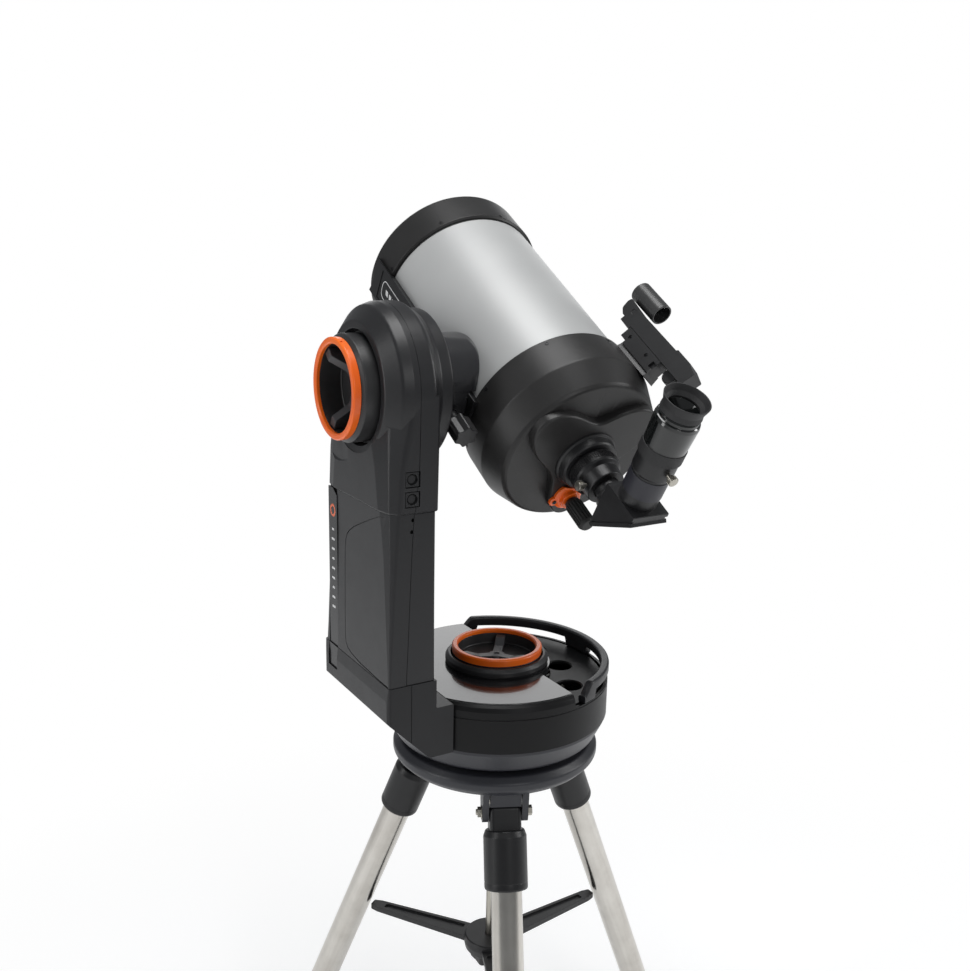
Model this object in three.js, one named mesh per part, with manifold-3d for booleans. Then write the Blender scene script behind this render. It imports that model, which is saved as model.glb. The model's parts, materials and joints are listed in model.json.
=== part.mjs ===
// Schmidt-Cassegrain telescope of 8-inch class on a motorised single-arm fork and a folding tripod.
// Millimetres, +Z up. The floor is Z = 0 and the origin is the middle of the footprint.
// The tube points to the back and up, the eyepiece is at the front, the fork arm is on the left.
import * as THREE from 'three';
import { mergeVertices } from 'three/addons/utils/BufferGeometryUtils.js';
import Module from 'manifold-3d';

const wasm = await Module();
wasm.setup();

// Driving dimensions
const GAP = 0.3;                  // running gap between pieces that touch
const GROUND = 702;               // height of the drive base underside above the floor
const OFFSET_X = -76;             // azimuth axis from the middle of the footprint
const OFFSET_Y = 18;
const DRUM_R = 150.5;             // rotating base
const DECK_Z = 96;                // top of the base, from the underside of the drive base
const ALT_Z = 484;                // altitude axis, from the underside of the drive base
const TUBE_X = 34;                // optical axis beside the azimuth axis
const TUBE_TILT = 30.7;           // elevation of the tube in degrees
const TUBE_R = 111.5;             // outside of the optical tube
const CELL_R = 116;               // outside of the front and rear cells
const KNOB_R = 60;                // clutch knobs
const ARM_OUT = -205;             // outer face of the fork arm
const ARM_IN = -144;              // inner face of the fork arm
const ARM_HALF = 95;              // half the depth of the fork arm
const HEAD_R = 101;               // round head of the fork arm
const BEND_Z = 348;               // where the head housing meets the lower housing
const FOOT_Z = 137;               // top of the arm foot
const WALL = 3;                   // casing walls
const LEG_SPLAY = 22;             // legs from the vertical, in degrees
const LEG_TURN = -24.3;           // first leg from the -Y axis, in degrees
const HINGE_R = 112.7;            // leg hinge pins from the azimuth axis
const HINGE_Z = -62;
const LEG_R = 20;                 // stainless upper leg
const BARREL_R = 15.9;            // 1.25-inch push-fit barrels
const FINDER_TURN = 40;           // finder around the tube from the top, in degrees

const FINE = 36;                  // facets round large, medium and small turned bodies
const MEDIUM = 32;
const SMALL = 16;

const rad = THREE.MathUtils.degToRad;

// Materials
const paint = (color, roughness, metalness = 0) =>
  new THREE.MeshStandardMaterial({ color, roughness, metalness });
const casing = paint(0x3a3b3e, 0.5);
const darkCasing = paint(0x1c1c1e, 0.45);
const casting = paint(0x2a2b2f, 0.55, 0.2);
const glossBlack = paint(0x0c0c0e, 0.15);
const satinBlack = paint(0x17171a, 0.4);
const rubber = paint(0x1b1b1c, 0.85);
const orange = paint(0xf0561c, 0.3);
const silver = paint(0xc4c7c8, 0.35, 0.2);
const graphite = paint(0x3f4043, 0.42, 0.3);
const steel = paint(0xb8b2aa, 0.28, 1);
const bronze = paint(0xb08a4a, 0.35, 1);
const glass = paint(0xbfd6d2, 0.05);
const mirror = paint(0xe8ecee, 0.03, 1);

// Geometry helpers
function clean(source) {
  const bare = source.clone();
  bare.deleteAttribute('normal');
  bare.deleteAttribute('uv');
  const merged = mergeVertices(bare, 1e-4);
  const index = merged.index.array;
  const kept = [];
  for (let i = 0; i < index.length; i += 3) {
    const [a, b, c] = [index[i], index[i + 1], index[i + 2]];
    if (a !== b && b !== c && c !== a) kept.push(a, b, c);
  }
  merged.setIndex(kept);
  return merged;
}

function volume(geometry) {
  const [a, b, c] = [new THREE.Vector3(), new THREE.Vector3(), new THREE.Vector3()];
  const index = geometry.index.array;
  const position = geometry.attributes.position;
  let sum = 0;
  for (let i = 0; i < index.length; i += 3) {
    a.fromBufferAttribute(position, index[i]);
    b.fromBufferAttribute(position, index[i + 1]);
    c.fromBufferAttribute(position, index[i + 2]);
    sum += a.dot(b.cross(c)) / 6;
  }
  return sum;
}

function toSolid(geometry) {
  const merged = clean(geometry);
  const triVerts = Uint32Array.from(merged.index.array);
  if (volume(merged) < 0) {
    for (let i = 0; i < triVerts.length; i += 3) {
      [triVerts[i], triVerts[i + 1]] = [triVerts[i + 1], triVerts[i]];
    }
  }
  const vertProperties = Float32Array.from(merged.attributes.position.array);
  return new wasm.Manifold(new wasm.Mesh({ numProp: 3, vertProperties, triVerts }));
}

function toGeometry(solid) {
  const mesh = solid.getMesh();
  const geometry = new THREE.BufferGeometry();
  geometry.setAttribute('position', new THREE.BufferAttribute(mesh.vertProperties, 3));
  geometry.setIndex(new THREE.BufferAttribute(mesh.triVerts, 1));
  return geometry;
}

function join(...pieces) {
  return toGeometry(pieces.map(toSolid).reduce((sum, piece) => sum.add(piece)));
}

function cut(body, ...tools) {
  return toGeometry(tools.map(toSolid).reduce((rest, tool) => rest.subtract(tool), toSolid(body)));
}

function common(a, b) {
  return toGeometry(toSolid(a).intersect(toSolid(b)));
}

function box(x0, x1, y0, y1, z0, z1) {
  const geometry = new THREE.BoxGeometry(x1 - x0, y1 - y0, z1 - z0);
  return geometry.translate((x0 + x1) / 2, (y0 + y1) / 2, (z0 + z1) / 2);
}

// A body turned about Z from [radius, z] points. The outline closes on itself or on the axis.
function turned(outline, segments = 24) {
  const points = outline.map(([r, z]) => new THREE.Vector2(r, z));
  if (outline[0][0] > 0) points.push(points[0].clone());
  return new THREE.LatheGeometry(points, segments).rotateX(Math.PI / 2);
}

function rod(radius, z0, z1, segments = SMALL) {
  return turned([[0, z0], [radius, z0], [radius, z1], [0, z1]], segments);
}

function ring(outer, inner, z0, z1, segments = 24) {
  return turned([[inner, z0], [outer, z0], [outer, z1], [inner, z1]], segments);
}

// Lays a body built along Z along X instead.
const alongX = (geometry) => geometry.rotateY(Math.PI / 2);
const alongY = (geometry) => geometry.rotateX(-Math.PI / 2);

// An outline in XY pushed from z0 to z1.
function prism(outline, z0, z1) {
  const shape = new THREE.Shape(outline.map(([x, y]) => new THREE.Vector2(x, y)));
  const geometry = new THREE.ExtrudeGeometry(shape, { depth: z1 - z0, bevelEnabled: false });
  return geometry.translate(0, 0, z0);
}

// An outline in XZ pushed along Y, and one in YZ pushed along X.
const prismY = (outline, y0, y1) => prism(outline, -y1, -y0).rotateX(Math.PI / 2);
function prismX(outline, x0, x1) {
  const toYZ = new THREE.Matrix4().makeBasis(
    new THREE.Vector3(0, 1, 0), new THREE.Vector3(0, 0, 1), new THREE.Vector3(1, 0, 0));
  return prism(outline, x0, x1).applyMatrix4(toYZ);
}

const root = new THREE.Group();

function group(parent, x = 0, y = 0, z = 0) {
  const child = new THREE.Group();
  child.position.set(x, y, z);
  parent.add(child);
  return child;
}

function add(parent, name, geometry, material) {
  const flat = clean(geometry).toNonIndexed();
  flat.computeVertexNormals();
  const mesh = new THREE.Mesh(flat, material);
  mesh.name = name;
  parent.add(mesh);
  return mesh;
}

const stand = group(root, OFFSET_X, OFFSET_Y, GROUND);

// Tripod head: a round plate with a pair of hinge ears for each leg and a threaded centre.
const PLATE_R = 139.5;
const PLATE_TOP = -3.5;
const PLATE_LOW = -30.5;
{
  const plate = turned([[8, PLATE_LOW], [132, PLATE_LOW], [PLATE_R, PLATE_LOW + 8], [PLATE_R, PLATE_TOP - 6],
    [133, PLATE_TOP], [8, PLATE_TOP]], FINE);
  const ears = [];
  for (let leg = 0; leg < 3; leg += 1) {
    for (const side of [-1, 1]) {
      const x0 = side > 0 ? 21.5 : -29.5;
      const ear = prismX([[-HINGE_R - 15, PLATE_LOW + 1], [-HINGE_R - 11, HINGE_Z - 11],
        [-HINGE_R + 8, HINGE_Z - 11], [-HINGE_R + 22, PLATE_LOW + 1]], x0, x0 + 8);
      const bore = alongX(rod(4.4, -40, 40, 12)).translate(0, -HINGE_R, HINGE_Z);
      ears.push(cut(ear, bore).rotateZ(rad(LEG_TURN + 120 * leg)));
    }
  }
  add(stand, 'tripod_head', join(plate, ...ears), casting);
}

// Legs: black sleeve on a hinge pin, stainless upper tube with a clamp collar, inner leg that
// slides out of it on a rubber foot, and clamp screw.
const LEG_LENGTH = (GROUND + HINGE_Z) / Math.cos(rad(LEG_SPLAY));
const COLLAR_LOW = -610;
for (let leg = 0; leg < 3; leg += 1) {
  const spoke = group(stand);
  spoke.rotation.z = rad(LEG_TURN + 120 * leg);
  const hinge = group(spoke, 0, -HINGE_R, HINGE_Z);
  hinge.rotation.x = rad(-LEG_SPLAY);
  const n = leg + 1;
  const cheek = box(-20.5, 20.5, -16, 16, -30, 8);
  const sleeve = turned([[0, -96], [28, -96], [28, -26], [25, -22], [0, -22]], SMALL);
  const socket = rod(LEG_R + GAP, -97, -34, SMALL);
  const pin = alongX(join(rod(4, -33, 33, 12), rod(8, -36, -30, 6), rod(8, 30, 36, 6)));
  add(hinge, `leg_sleeve_${n}`, join(cut(join(cheek, sleeve), socket), pin), satinBlack);
  const tube = ring(LEG_R, 18, COLLAR_LOW + 24, -35, SMALL);
  const collar = turned([[17.2, COLLAR_LOW], [25, COLLAR_LOW], [25, COLLAR_LOW + 34],
    [LEG_R - 1, COLLAR_LOW + 38], [LEG_R - 1, COLLAR_LOW + 24], [17.2, COLLAR_LOW + 24]], SMALL);
  const boss = cut(alongX(rod(8, 18, 34, 12)).translate(0, 0, COLLAR_LOW + 14),
    rod(17.2, COLLAR_LOW - 5, COLLAR_LOW + 40, SMALL),
    alongX(rod(3.3, 10, 40, 12)).translate(0, 0, COLLAR_LOW + 14));
  const screwHole = alongX(rod(3.3, 10, 40, 12)).translate(0, 0, COLLAR_LOW + 14);
  add(hinge, `leg_upper_tube_${n}`, cut(join(tube, collar, boss), screwHole), steel);
  const footEnd = -LEG_LENGTH + 14 + 12 * Math.tan(rad(LEG_SPLAY));
  const lower = turned([[0, footEnd - 14], [12, footEnd - 14], [21, footEnd - 7], [21, footEnd + 8],
    [16.9, footEnd + 14], [16.9, -120], [15, -120], [15, footEnd], [0, footEnd]], SMALL);
  add(hinge, `leg_lower_tube_${n}`, lower, steel);
  const star = [];
  for (let i = 0; i < 10; i += 1) {
    const r = i % 2 ? 13 : 17;
    star.push([r * Math.cos(i * Math.PI / 5), r * Math.sin(i * Math.PI / 5)]);
  }
  const screw = join(prism(star, 36, 46), rod(3, 17.6, 37, 10));
  add(hinge, `leg_clamp_screw_${n}`, alongX(screw).translate(0, 0, COLLAR_LOW + 14), satinBlack);
}

// Centre rod, leg brace with three arms, and the nut that drives the brace against the legs.
const BRACE_Z = -330;
{
  const flange = rod(20, PLATE_LOW - 12, PLATE_LOW - GAP, 24);
  add(stand, 'centre_rod', join(rod(7, BRACE_Z - 70, PLATE_TOP - 0.5, SMALL), flange), steel);
  const legHere = HINGE_R + (HINGE_Z - BRACE_Z) * Math.tan(rad(LEG_SPLAY));
  const reach = legHere - LEG_R / Math.cos(rad(LEG_SPLAY)) - 6;
  const arms = [ring(38, 7.5, BRACE_Z - 10, BRACE_Z + 10, 24)];
  for (let leg = 0; leg < 3; leg += 1) {
    const arm = prism([[-16, -30], [-9, -reach + 12], [-6, -reach], [6, -reach], [9, -reach + 12],
      [16, -30]], BRACE_Z - 4, BRACE_Z + 4);
    arms.push(arm.rotateZ(rad(LEG_TURN + 120 * leg)));
  }
  add(stand, 'leg_brace', join(...arms), satinBlack);
  const nut = [];
  for (let i = 0; i < 12; i += 1) {
    const r = i % 2 ? 24 : 29;
    nut.push([r * Math.cos(i * Math.PI / 6), r * Math.sin(i * Math.PI / 6)]);
  }
  add(stand, 'brace_nut', cut(prism(nut, BRACE_Z - 28, BRACE_Z - 10 - GAP), rod(7.5, -400, -300, SMALL)),
    satinBlack);
}

// Fixed base: a dish with a chamfered skirt and the azimuth spindle.
add(stand, 'base_skirt', turned([[0, PLATE_TOP + GAP], [118, PLATE_TOP + GAP], [120, 5], [135, 5],
  [148.5, 33], [148.5, 36], [143.5, 36], [131, 9], [30, 6], [30, 12], [15, 16], [15, 90], [0, 90]], FINE),
casting);
add(stand, 'azimuth_worm_wheel', cut(ring(88, 15 + GAP, 42, 52, FINE),
  ...[0, 1, 2, 3, 4, 5].map((i) => rod(16, 40, 54, SMALL).translate(
    52 * Math.cos(i * Math.PI / 3), 52 * Math.sin(i * Math.PI / 3), 0))), bronze);

// A worm on its shaft, along Y, and its gear motor.
function worm(radius, half) {
  const points = [[0, -half - 8], [4, -half - 8], [4, -half]];
  for (let y = -half; y < half; y += 9) points.push([radius, y + 2], [radius, y + 5], [radius - 2, y + 8]);
  points.push([4, half + 1], [4, half + 8], [0, half + 8]);
  return alongY(turned(points, 8));
}
const motor = (radius, y0, y1) =>
  alongY(join(rod(radius, y0 + 10, y1, SMALL), rod(radius + 2, y0, y0 + 14, SMALL)));
add(stand, 'azimuth_worm', worm(9, 18).translate(98, 0, 47), steel);
add(stand, 'azimuth_motor', motor(10, 28, 74).translate(98, 0, 47), satinBlack);

// Rotating base: shell, glossy deck, eyepiece tray and carrying handle.
const TRAY_X = 27;
const TRAY_Z = 84;
const SHOE_X = -120;
{
  const shell = turned([[146.5, 36 + GAP], [DRUM_R, 36 + GAP], [DRUM_R, 89], [148, 94], [143, 95.5],
    [143, 91.5], [117, 91.5], [117, 87.5], [146.5, 87.5]], FINE);
  const shoe = box(-220, SHOE_X + GAP, -97 - GAP, 97 + GAP, 0, 120);
  const tray = box(TRAY_X, 170, -170, 170, TRAY_Z, 120);
  add(stand, 'base_shell', cut(shell, shoe, tray), darkCasing);

  const round = rod(142.7, 91.5 + GAP, DECK_Z, FINE);
  const deckCut = box(TRAY_X, 170, -170, 170, 80, 120);
  const half = cut(round, shoe, deckCut);
  const centre = rod(72, 91.5 + GAP, DECK_Z, FINE);
  const collar = turned([[9, DECK_Z - 1], [69, DECK_Z - 1], [69, 106], [66, 108], [9, 108]], FINE);
  const stem = rod(9, 80, 120, SMALL);
  add(stand, 'deck_plate', cut(join(half, centre, collar), stem), glossBlack);

  const floor = cut(rod(142.7, TRAY_Z - 5, TRAY_Z, FINE), box(-170, TRAY_X + GAP, -170, 170, 60, 120),
    rod(73, 60, 120, FINE));
  const holes = [[87, -24], [61, -86], [87, 40], [61, 98]].map(([x, y]) =>
    rod(BARREL_R + 0.8, 60, 120, 12).translate(x, y, 0));
  add(stand, 'eyepiece_tray', cut(floor, ...holes), darkCasing);
}
{
  const wedge = (from, to, z0, z1) => {
    const points = [[0, 0]];
    for (let i = 0; i <= 12; i += 1) {
      const a = rad(from + (to - from) * i / 12);
      points.push([220 * Math.cos(a), 220 * Math.sin(a)]);
    }
    return prism(points, z0, z1);
  };
  const band = ring(DRUM_R + 1, 143.5, TRAY_Z + GAP, 108.5, FINE);
  const bar = common(band, wedge(-72, 79, 95, 110));
  const posts = [[-72, -64], [-8, 14], [71, 79]].map(([a, b]) => common(band, wedge(a, b, 80, 110)));
  add(stand, 'carry_handle', join(bar, ...posts), darkCasing);
}

// Clutch knob: a deep cup with three rising spokes, and its orange ring. Built along Z from 0.
function clutchKnob(depth, stem) {
  const cup = turned([[0, 0], [57.5, 0], [KNOB_R, 3], [KNOB_R - 0.4, depth], [53.5, depth], [51.5, 5],
    [0, 5]], MEDIUM);
  const spokes = [0, 1, 2].map((i) => prismY([[0, 4], [52.5, depth - 9], [52.5, depth - 3], [24, 11],
    [0, 9]], -5.5, 5.5).rotateZ(rad(120 * i)));
  return join(cup, ...spokes, rod(8, -stem, 6, SMALL));
}
const clutchRing = (z0) => turned([[52.8, z0], [KNOB_R + 0.6, z0], [KNOB_R + 0.6, z0 + 4],
  [59, z0 + 5.6], [52.8, z0 + 5.6]], MEDIUM);
const knobZ = 108 + GAP;
add(stand, 'azimuth_clutch_knob', clutchKnob(10, 17.5).rotateZ(rad(70)).translate(0, 0, knobZ), satinBlack);
add(stand, 'azimuth_clutch_ring', clutchRing(knobZ + 10 + GAP), orange);

// Fork arm casting: foot that wraps the base, floor of the rotating base, spine and bearing boss.
const BOSS_R = 34;
{
  const foot = prismY([[-209, 92], [-153, 36 + GAP], [SHOE_X, 36 + GAP], [SHOE_X, DECK_Z], [ARM_IN, DECK_Z],
    [ARM_IN, FOOT_Z], [-207, FOOT_Z], [-209, 120]], -97, 97);
  const rounding = prism([[-100, -97], [-196, -97], [-204, -93], [-209, -84], [-209, 84], [-204, 93],
    [-196, 97], [-100, 97]], 0, 200);
  const web = box(-126, -94, -40, 40, 28, 70);
  const floor = join(ring(127, 22, 24, 33, FINE), ring(112, 96, 9.2, 25, FINE));
  const spine = box(-160, -150, -62, 62, FOOT_Z - 1, ALT_Z + 20);
  const ribs = [-44, 44].map((y) => box(-176, -159, y - 3, y + 3, FOOT_Z - 1, 380));
  const boss = alongX(rod(BOSS_R, -168, -142, 24)).translate(0, 0, ALT_Z);
  const bore = alongX(rod(14 + GAP, -180, -130, 24)).translate(0, 0, ALT_Z);
  const whole = join(common(foot, rounding), web, floor, spine, ...ribs, boss);
  add(stand, 'arm_casting', cut(whole, bore), casting);
}

// Fork arm casings: open shells, an outer and an inner half for the head and for the lower arm.
const SEAM_HEAD = -169;
const SEAM_LOW = -178;
function armSection(outer, inner, half, bevel) {
  return [[inner, -half], [outer + bevel, -half], [outer + bevel * 0.35, -half + bevel * 0.9],
    [outer, -half + bevel * 2.4], [outer, half - bevel * 2.4], [outer + bevel * 0.35, half - bevel * 0.9],
    [outer + bevel, half], [inner, half]];
}
{
  const z0 = BEND_Z + GAP;
  const above = box(-300, 0, -200, 200, z0, 700);
  const dome = (grow) => alongX(turned([[0, SEAM_HEAD + 10], [HEAD_R + grow, SEAM_HEAD + 10],
    [HEAD_R + grow, -182], [98 + grow, -190], [90 + grow, -197 - grow], [76 + grow, -202 - grow],
    [0, -203 - grow]], MEDIUM)).translate(0, 0, ALT_Z);
  const neck = (grow, low) => prism(
    armSection(ARM_OUT - 2 - grow, SEAM_HEAD + 10, ARM_HALF + 2 + grow, 16), low, ALT_Z);
  const outside = join(dome(0), neck(0, z0));
  const seatWall = alongX(rod(66, -220, -200, MEDIUM)).translate(0, 0, ALT_Z);
  const inside = cut(join(dome(-WALL), neck(-WALL, z0 - 5)), seatWall);
  const split = box(SEAM_HEAD - GAP / 2, 0, -200, 200, 0, 700);
  const hole = alongX(rod(11, -220, -150, SMALL)).translate(0, 0, ALT_Z);
  const shell = cut(common(cut(outside, inside), above), split, hole);
  const seat = alongX(rod(63, -220, -203, MEDIUM)).translate(0, 0, ALT_Z);
  add(stand, 'arm_head_outer', cut(shell, seat), casing);

  const headOutline = (grow) => {
    const points = [];
    for (let i = 0; i <= 24; i += 1) {
      const a = Math.PI * i / 24;
      const r = HEAD_R + grow;
      points.push([r * Math.cos(a), ALT_Z + r * Math.sin(a)]);
    }
    points.push([-ARM_HALF - 2 - grow, ALT_Z - 30], [-ARM_HALF - 2 - grow, z0 - (grow < 0 ? 5 : 0)],
      [ARM_HALF + 2 + grow, z0 - (grow < 0 ? 5 : 0)], [ARM_HALF + 2 + grow, ALT_Z - 30]);
    return points;
  };
  const disc = (grow) => alongX(turned([[0, ARM_IN - 4], [97 + grow, ARM_IN - 4], [92 + grow, ARM_IN + 5],
    [91.5 + grow, -121 + grow], [0, -121 + grow]], MEDIUM)).translate(0, 0, ALT_Z);
  const innerOutside = join(prismX(headOutline(0), SEAM_HEAD + GAP / 2, ARM_IN + 1), disc(0));
  const innerInside = join(prismX(headOutline(-WALL), SEAM_HEAD - 5, ARM_IN + 1 - WALL), disc(-WALL));
  const shaftHole = alongX(rod(16, -140, -100, 24)).translate(0, 0, ALT_Z);
  add(stand, 'arm_head_inner', cut(innerOutside, innerInside, shaftHole), casing);
}
{
  const z0 = FOOT_Z + GAP;
  const section = (grow) => armSection(ARM_OUT - grow, ARM_IN - 2 + grow, ARM_HALF + grow, 9);
  const whole = cut(prism(section(0), z0, BEND_Z), prism(section(-WALL), z0 - 5, BEND_Z + 5));
  const outer = box(-300, SEAM_LOW - GAP / 2, -200, 200, 0, 600);
  const inner = box(SEAM_LOW + GAP / 2, 0, -200, 200, 0, 600);
  add(stand, 'arm_lower_outer', common(whole, outer), casing);
  add(stand, 'arm_lower_inner', common(whole, inner), casing);
}

// Altitude clutch, on the outside of the arm
{
  const outward = (geometry) => geometry.rotateY(-Math.PI / 2);
  const face = -203 - GAP;
  const knob = outward(clutchKnob(24.5, 4.2).rotateZ(rad(15))).translate(face, 0, ALT_Z);
  add(stand, 'altitude_clutch_knob', knob, satinBlack);
  add(stand, 'altitude_clutch_ring', outward(clutchRing(0)).translate(face - 24.5 - GAP, 0, ALT_Z), orange);
}

// Altitude drive inside the arm
const altitudeWheel = alongX(ring(58, 14 + GAP, -184, -176, MEDIUM)).translate(0, 0, ALT_Z);
add(stand, 'altitude_worm_wheel', altitudeWheel, bronze);
add(stand, 'altitude_worm', worm(9, 18).translate(-180, 0, ALT_Z - 68), steel);
add(stand, 'altitude_motor', motor(13, 28, FINE).translate(-180, 0, ALT_Z - 68), satinBlack);
add(stand, 'altitude_shaft', alongX(rod(14, -198, -121, 24)).translate(0, 0, ALT_Z), steel);

// Optical tube. Its own axes: +Z along the tube to the sky, -Y up, X across.
const ota = group(stand, TUBE_X, 0, ALT_Z);
ota.rotation.x = rad(TUBE_TILT - 90);

const BAR_X = -119.5;
const HUB_END = 3;
const CLAMP_X = -137;
{
  // Hub that grips the dovetail bar, turned about the altitude axis
  const hubFrom = -121 + GAP - TUBE_X;
  const hub = alongX(turned([[0, hubFrom], [58, hubFrom], [61, hubFrom + 3], [61, hubFrom + 54],
    [57, hubFrom + 60], [0, hubFrom + 60]], MEDIUM));
  const slot = prism([[BAR_X - GAP, -28], [-90, -18], [-80, -18], [-80, 18], [-90, 18], [BAR_X - GAP, 28]],
    -90, 90);
  const clear = rod(TUBE_R + 1.5, -90, 90, FINE);
  const channel = box(BAR_X + HUB_END, -70, -28, 28, -90, 90);
  const screwHole = rod(6.4, -70, -20, SMALL).translate(CLAMP_X, 0, 0);
  const shaftBore = alongX(rod(14 + GAP, -160, -154.9, 24));
  add(ota, 'altitude_hub', cut(hub, slot, channel, clear, screwHole, shaftBore), glossBlack);
  const lobes = [];
  for (let i = 0; i < 12; i += 1) {
    const r = i % 2 ? 12.8 : 16.5;
    lobes.push([r * Math.cos(i * Math.PI / 6), r * Math.sin(i * Math.PI / 6)]);
  }
  const knob = join(prism(lobes, -104, -72), rod(6, -73, -34, SMALL)).translate(CLAMP_X, 0, 0);
  add(ota, 'hub_clamp_knob', knob, satinBlack);
}
{
  const bar = prism([[BAR_X, -27], [-104, -20], [-104, 20], [BAR_X, 27]], -72, 240);
  const rearCell = rod(CELL_R + GAP, -90, -62, FINE);
  const frontCell = rod(CELL_R + GAP, 197 - GAP, 260, FINE);
  add(ota, 'dovetail_bar', cut(bar, rod(TUBE_R + GAP, -90, 260, FINE), rearCell, frontCell), satinBlack);
}
add(ota, 'optical_tube', ring(TUBE_R, 109.8, -75, 210, FINE), silver);
add(ota, 'front_cell', turned([[111.8, 197], [CELL_R, 197], [CELL_R, 248], [114, 251.2], [108, 251.2],
  [108, 232], [101.6, 232], [101.6, 227], [106, 216], [106, 212], [111.8, 212]], FINE), graphite);
add(ota, 'corrector_plate', ring(107.6, 32.5, 232 + GAP, 237, FINE), glass);
add(ota, 'corrector_retainer', ring(107.6, 100, 237 + GAP, 241, FINE), satinBlack);
add(ota, 'secondary_cell', turned([[0, 224], [32, 224], [32, 237 + GAP], [38, 237 + GAP], [38, 244],
  [34, 247], [0, 247]], 24), satinBlack);
add(ota, 'secondary_mirror', rod(31, 216, 224 - GAP, 24), mirror);

// Rear cell with a raised three-lobed pedestal on its back
const BACK = -148.5;
const PEDESTAL = -160;
const PORT_END = -174;
const BAFFLE_R = 21;
const FOCUS_X = -4;
const FOCUS_Y = 59;
{
  const cell = turned([[111.8, -62.5], [CELL_R, -62.5], [CELL_R, -112], [103, BACK], [BAFFLE_R + GAP, BACK],
    [BAFFLE_R + GAP, BACK + 5], [99, BACK + 5], [108, -112], [108, -76], [111.8, -76]], FINE);
  const lobed = [];
  for (let i = 0; i < 60; i += 1) {
    const a = i * 6;
    let swell = 0;
    for (const peak of [45, 180, 315]) {
      const away = Math.min(Math.abs(a - peak), 360 - Math.abs(a - peak)) / 42;
      swell = Math.max(swell, Math.exp(-(away ** 4)));
    }
    const r = 47 + 47 * swell;
    lobed.push([r * Math.sin(rad(a)), -r * Math.cos(rad(a))]);
  }
  const pedestal = prism(lobed, PEDESTAL, BACK + 1);
  const port = turned([[0, PORT_END], [39, PORT_END], [46, PEDESTAL + 1], [0, PEDESTAL + 1]], MEDIUM);
  const bore = rod(BAFFLE_R + GAP, -180, -140, 24);
  const screwHole = rod(4, -180, -130, SMALL).translate(FOCUS_X, FOCUS_Y, 0);
  add(ota, 'rear_cell', cut(join(cell, pedestal, port), bore, screwHole), graphite);
}
add(ota, 'baffle_tube', turned([[18.5, -172], [BAFFLE_R, -172], [BAFFLE_R, 20], [19, 110], [17.5, 110],
  [18.5, 20]], 32), satinBlack);
const MIRROR_BACK = -116;
{
  const glassAndSleeve = turned([[BAFFLE_R + GAP, -124], [70, -124], [70, MIRROR_BACK], [101.5, MIRROR_BACK],
    [101.5, MIRROR_BACK + 24], [66, MIRROR_BACK + 20], [26, MIRROR_BACK + 17.5], [26, -60],
    [BAFFLE_R + GAP, -60]], MEDIUM);
  const nut = rod(8, -140, -123).translate(FOCUS_X, FOCUS_Y, 0);
  const thread = rod(3.9, -141, MIRROR_BACK - 0.2, 12).translate(FOCUS_X, FOCUS_Y, 0);
  add(ota, 'primary_mirror', cut(join(glassAndSleeve, nut), thread), mirror);
}

// Focuser on the lower lobe
const place = (geometry) => geometry.translate(FOCUS_X, FOCUS_Y, 0);
add(ota, 'focuser_flange', place(cut(turned([[0, PEDESTAL - GAP], [29, PEDESTAL - GAP], [29, PEDESTAL - 4],
  [26, PEDESTAL - 7], [14, PEDESTAL - 7], [14, PEDESTAL - 12], [0, PEDESTAL - 12]], 24),
rod(4, -190, -150, SMALL), turned([[0, -180], [39.5, -180], [39.5, PORT_END], [47, PEDESTAL + 1],
  [0, PEDESTAL + 1]], MEDIUM).translate(-FOCUS_X, -FOCUS_Y, 0))), orange);
add(ota, 'focus_knob', place(join(turned([[0, -215], [9, -215], [11, -213], [11, -176], [9, -173],
  [0, -173]], 24), rod(3.6, -175, -119.6, 12))), rubber);

// Visual back, star diagonal and eyepiece
add(ota, 'visual_back', cut(turned([[BARREL_R + GAP, -212], [22, -212], [22, -192], [30, -190], [31, -178],
  [29, PORT_END - GAP], [BARREL_R + GAP, PORT_END - GAP]], 24),
alongX(rod(3, -60, 0, 12)).translate(0, 0, -203)), satinBlack);
const thumbHead = join(rod(6, 28, 37, SMALL), rod(2.7, BARREL_R + 0.7, 30, 10));
add(ota, 'visual_back_thumbscrew', thumbHead.clone().rotateY(-Math.PI / 2).translate(0, 0, -203), steel);
const EYE_Z = -262;
{
  const half = 25;
  const housing = prismX([[29, -231], [29, -239], [-22, -294], [-31, -294], [-31, -231]], -half, half);
  const nose = rod(BARREL_R, -232, -184, 24);
  const toUp = (geometry) => geometry.rotateX(Math.PI / 2).translate(0, 0, EYE_Z);
  const holder = toUp(turned([[0, 30], [23, 30], [23, 76], [24.5, 78], [24.5, 98], [0, 98]], 24));
  const socket = toUp(rod(BARREL_R + GAP, 58, 110, 24));
  const light = join(rod(12, -260, -170, SMALL), toUp(rod(12, 10, 60, SMALL)));
  const screwHole = rod(3, -40, 0, 12).translate(0, -88, EYE_Z);
  add(ota, 'star_diagonal', cut(join(housing, nose, holder), socket, light, screwHole), satinBlack);
  add(ota, 'diagonal_thumbscrew', thumbHead.clone().rotateX(Math.PI).translate(0, -88, EYE_Z), steel);

  add(ota, 'eyepiece', toUp(turned([[12, 60], [BARREL_R, 60], [BARREL_R, 98 + GAP], [28, 98 + GAP],
    [28.5, 113], [26, 115], [28.5, 146], [27, 152], [22, 158], [22, 163], [12, 163]], 24)), satinBlack);
  add(ota, 'eyecup', toUp(turned([[22 + GAP, 158 + GAP], [24.5, 158 + GAP], [23.5, 164], [27, 176],
    [24.5, 176], [18, 166],
    [18, 163 + GAP], [22 + GAP, 163 + GAP]], 24)), rubber);
}

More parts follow.
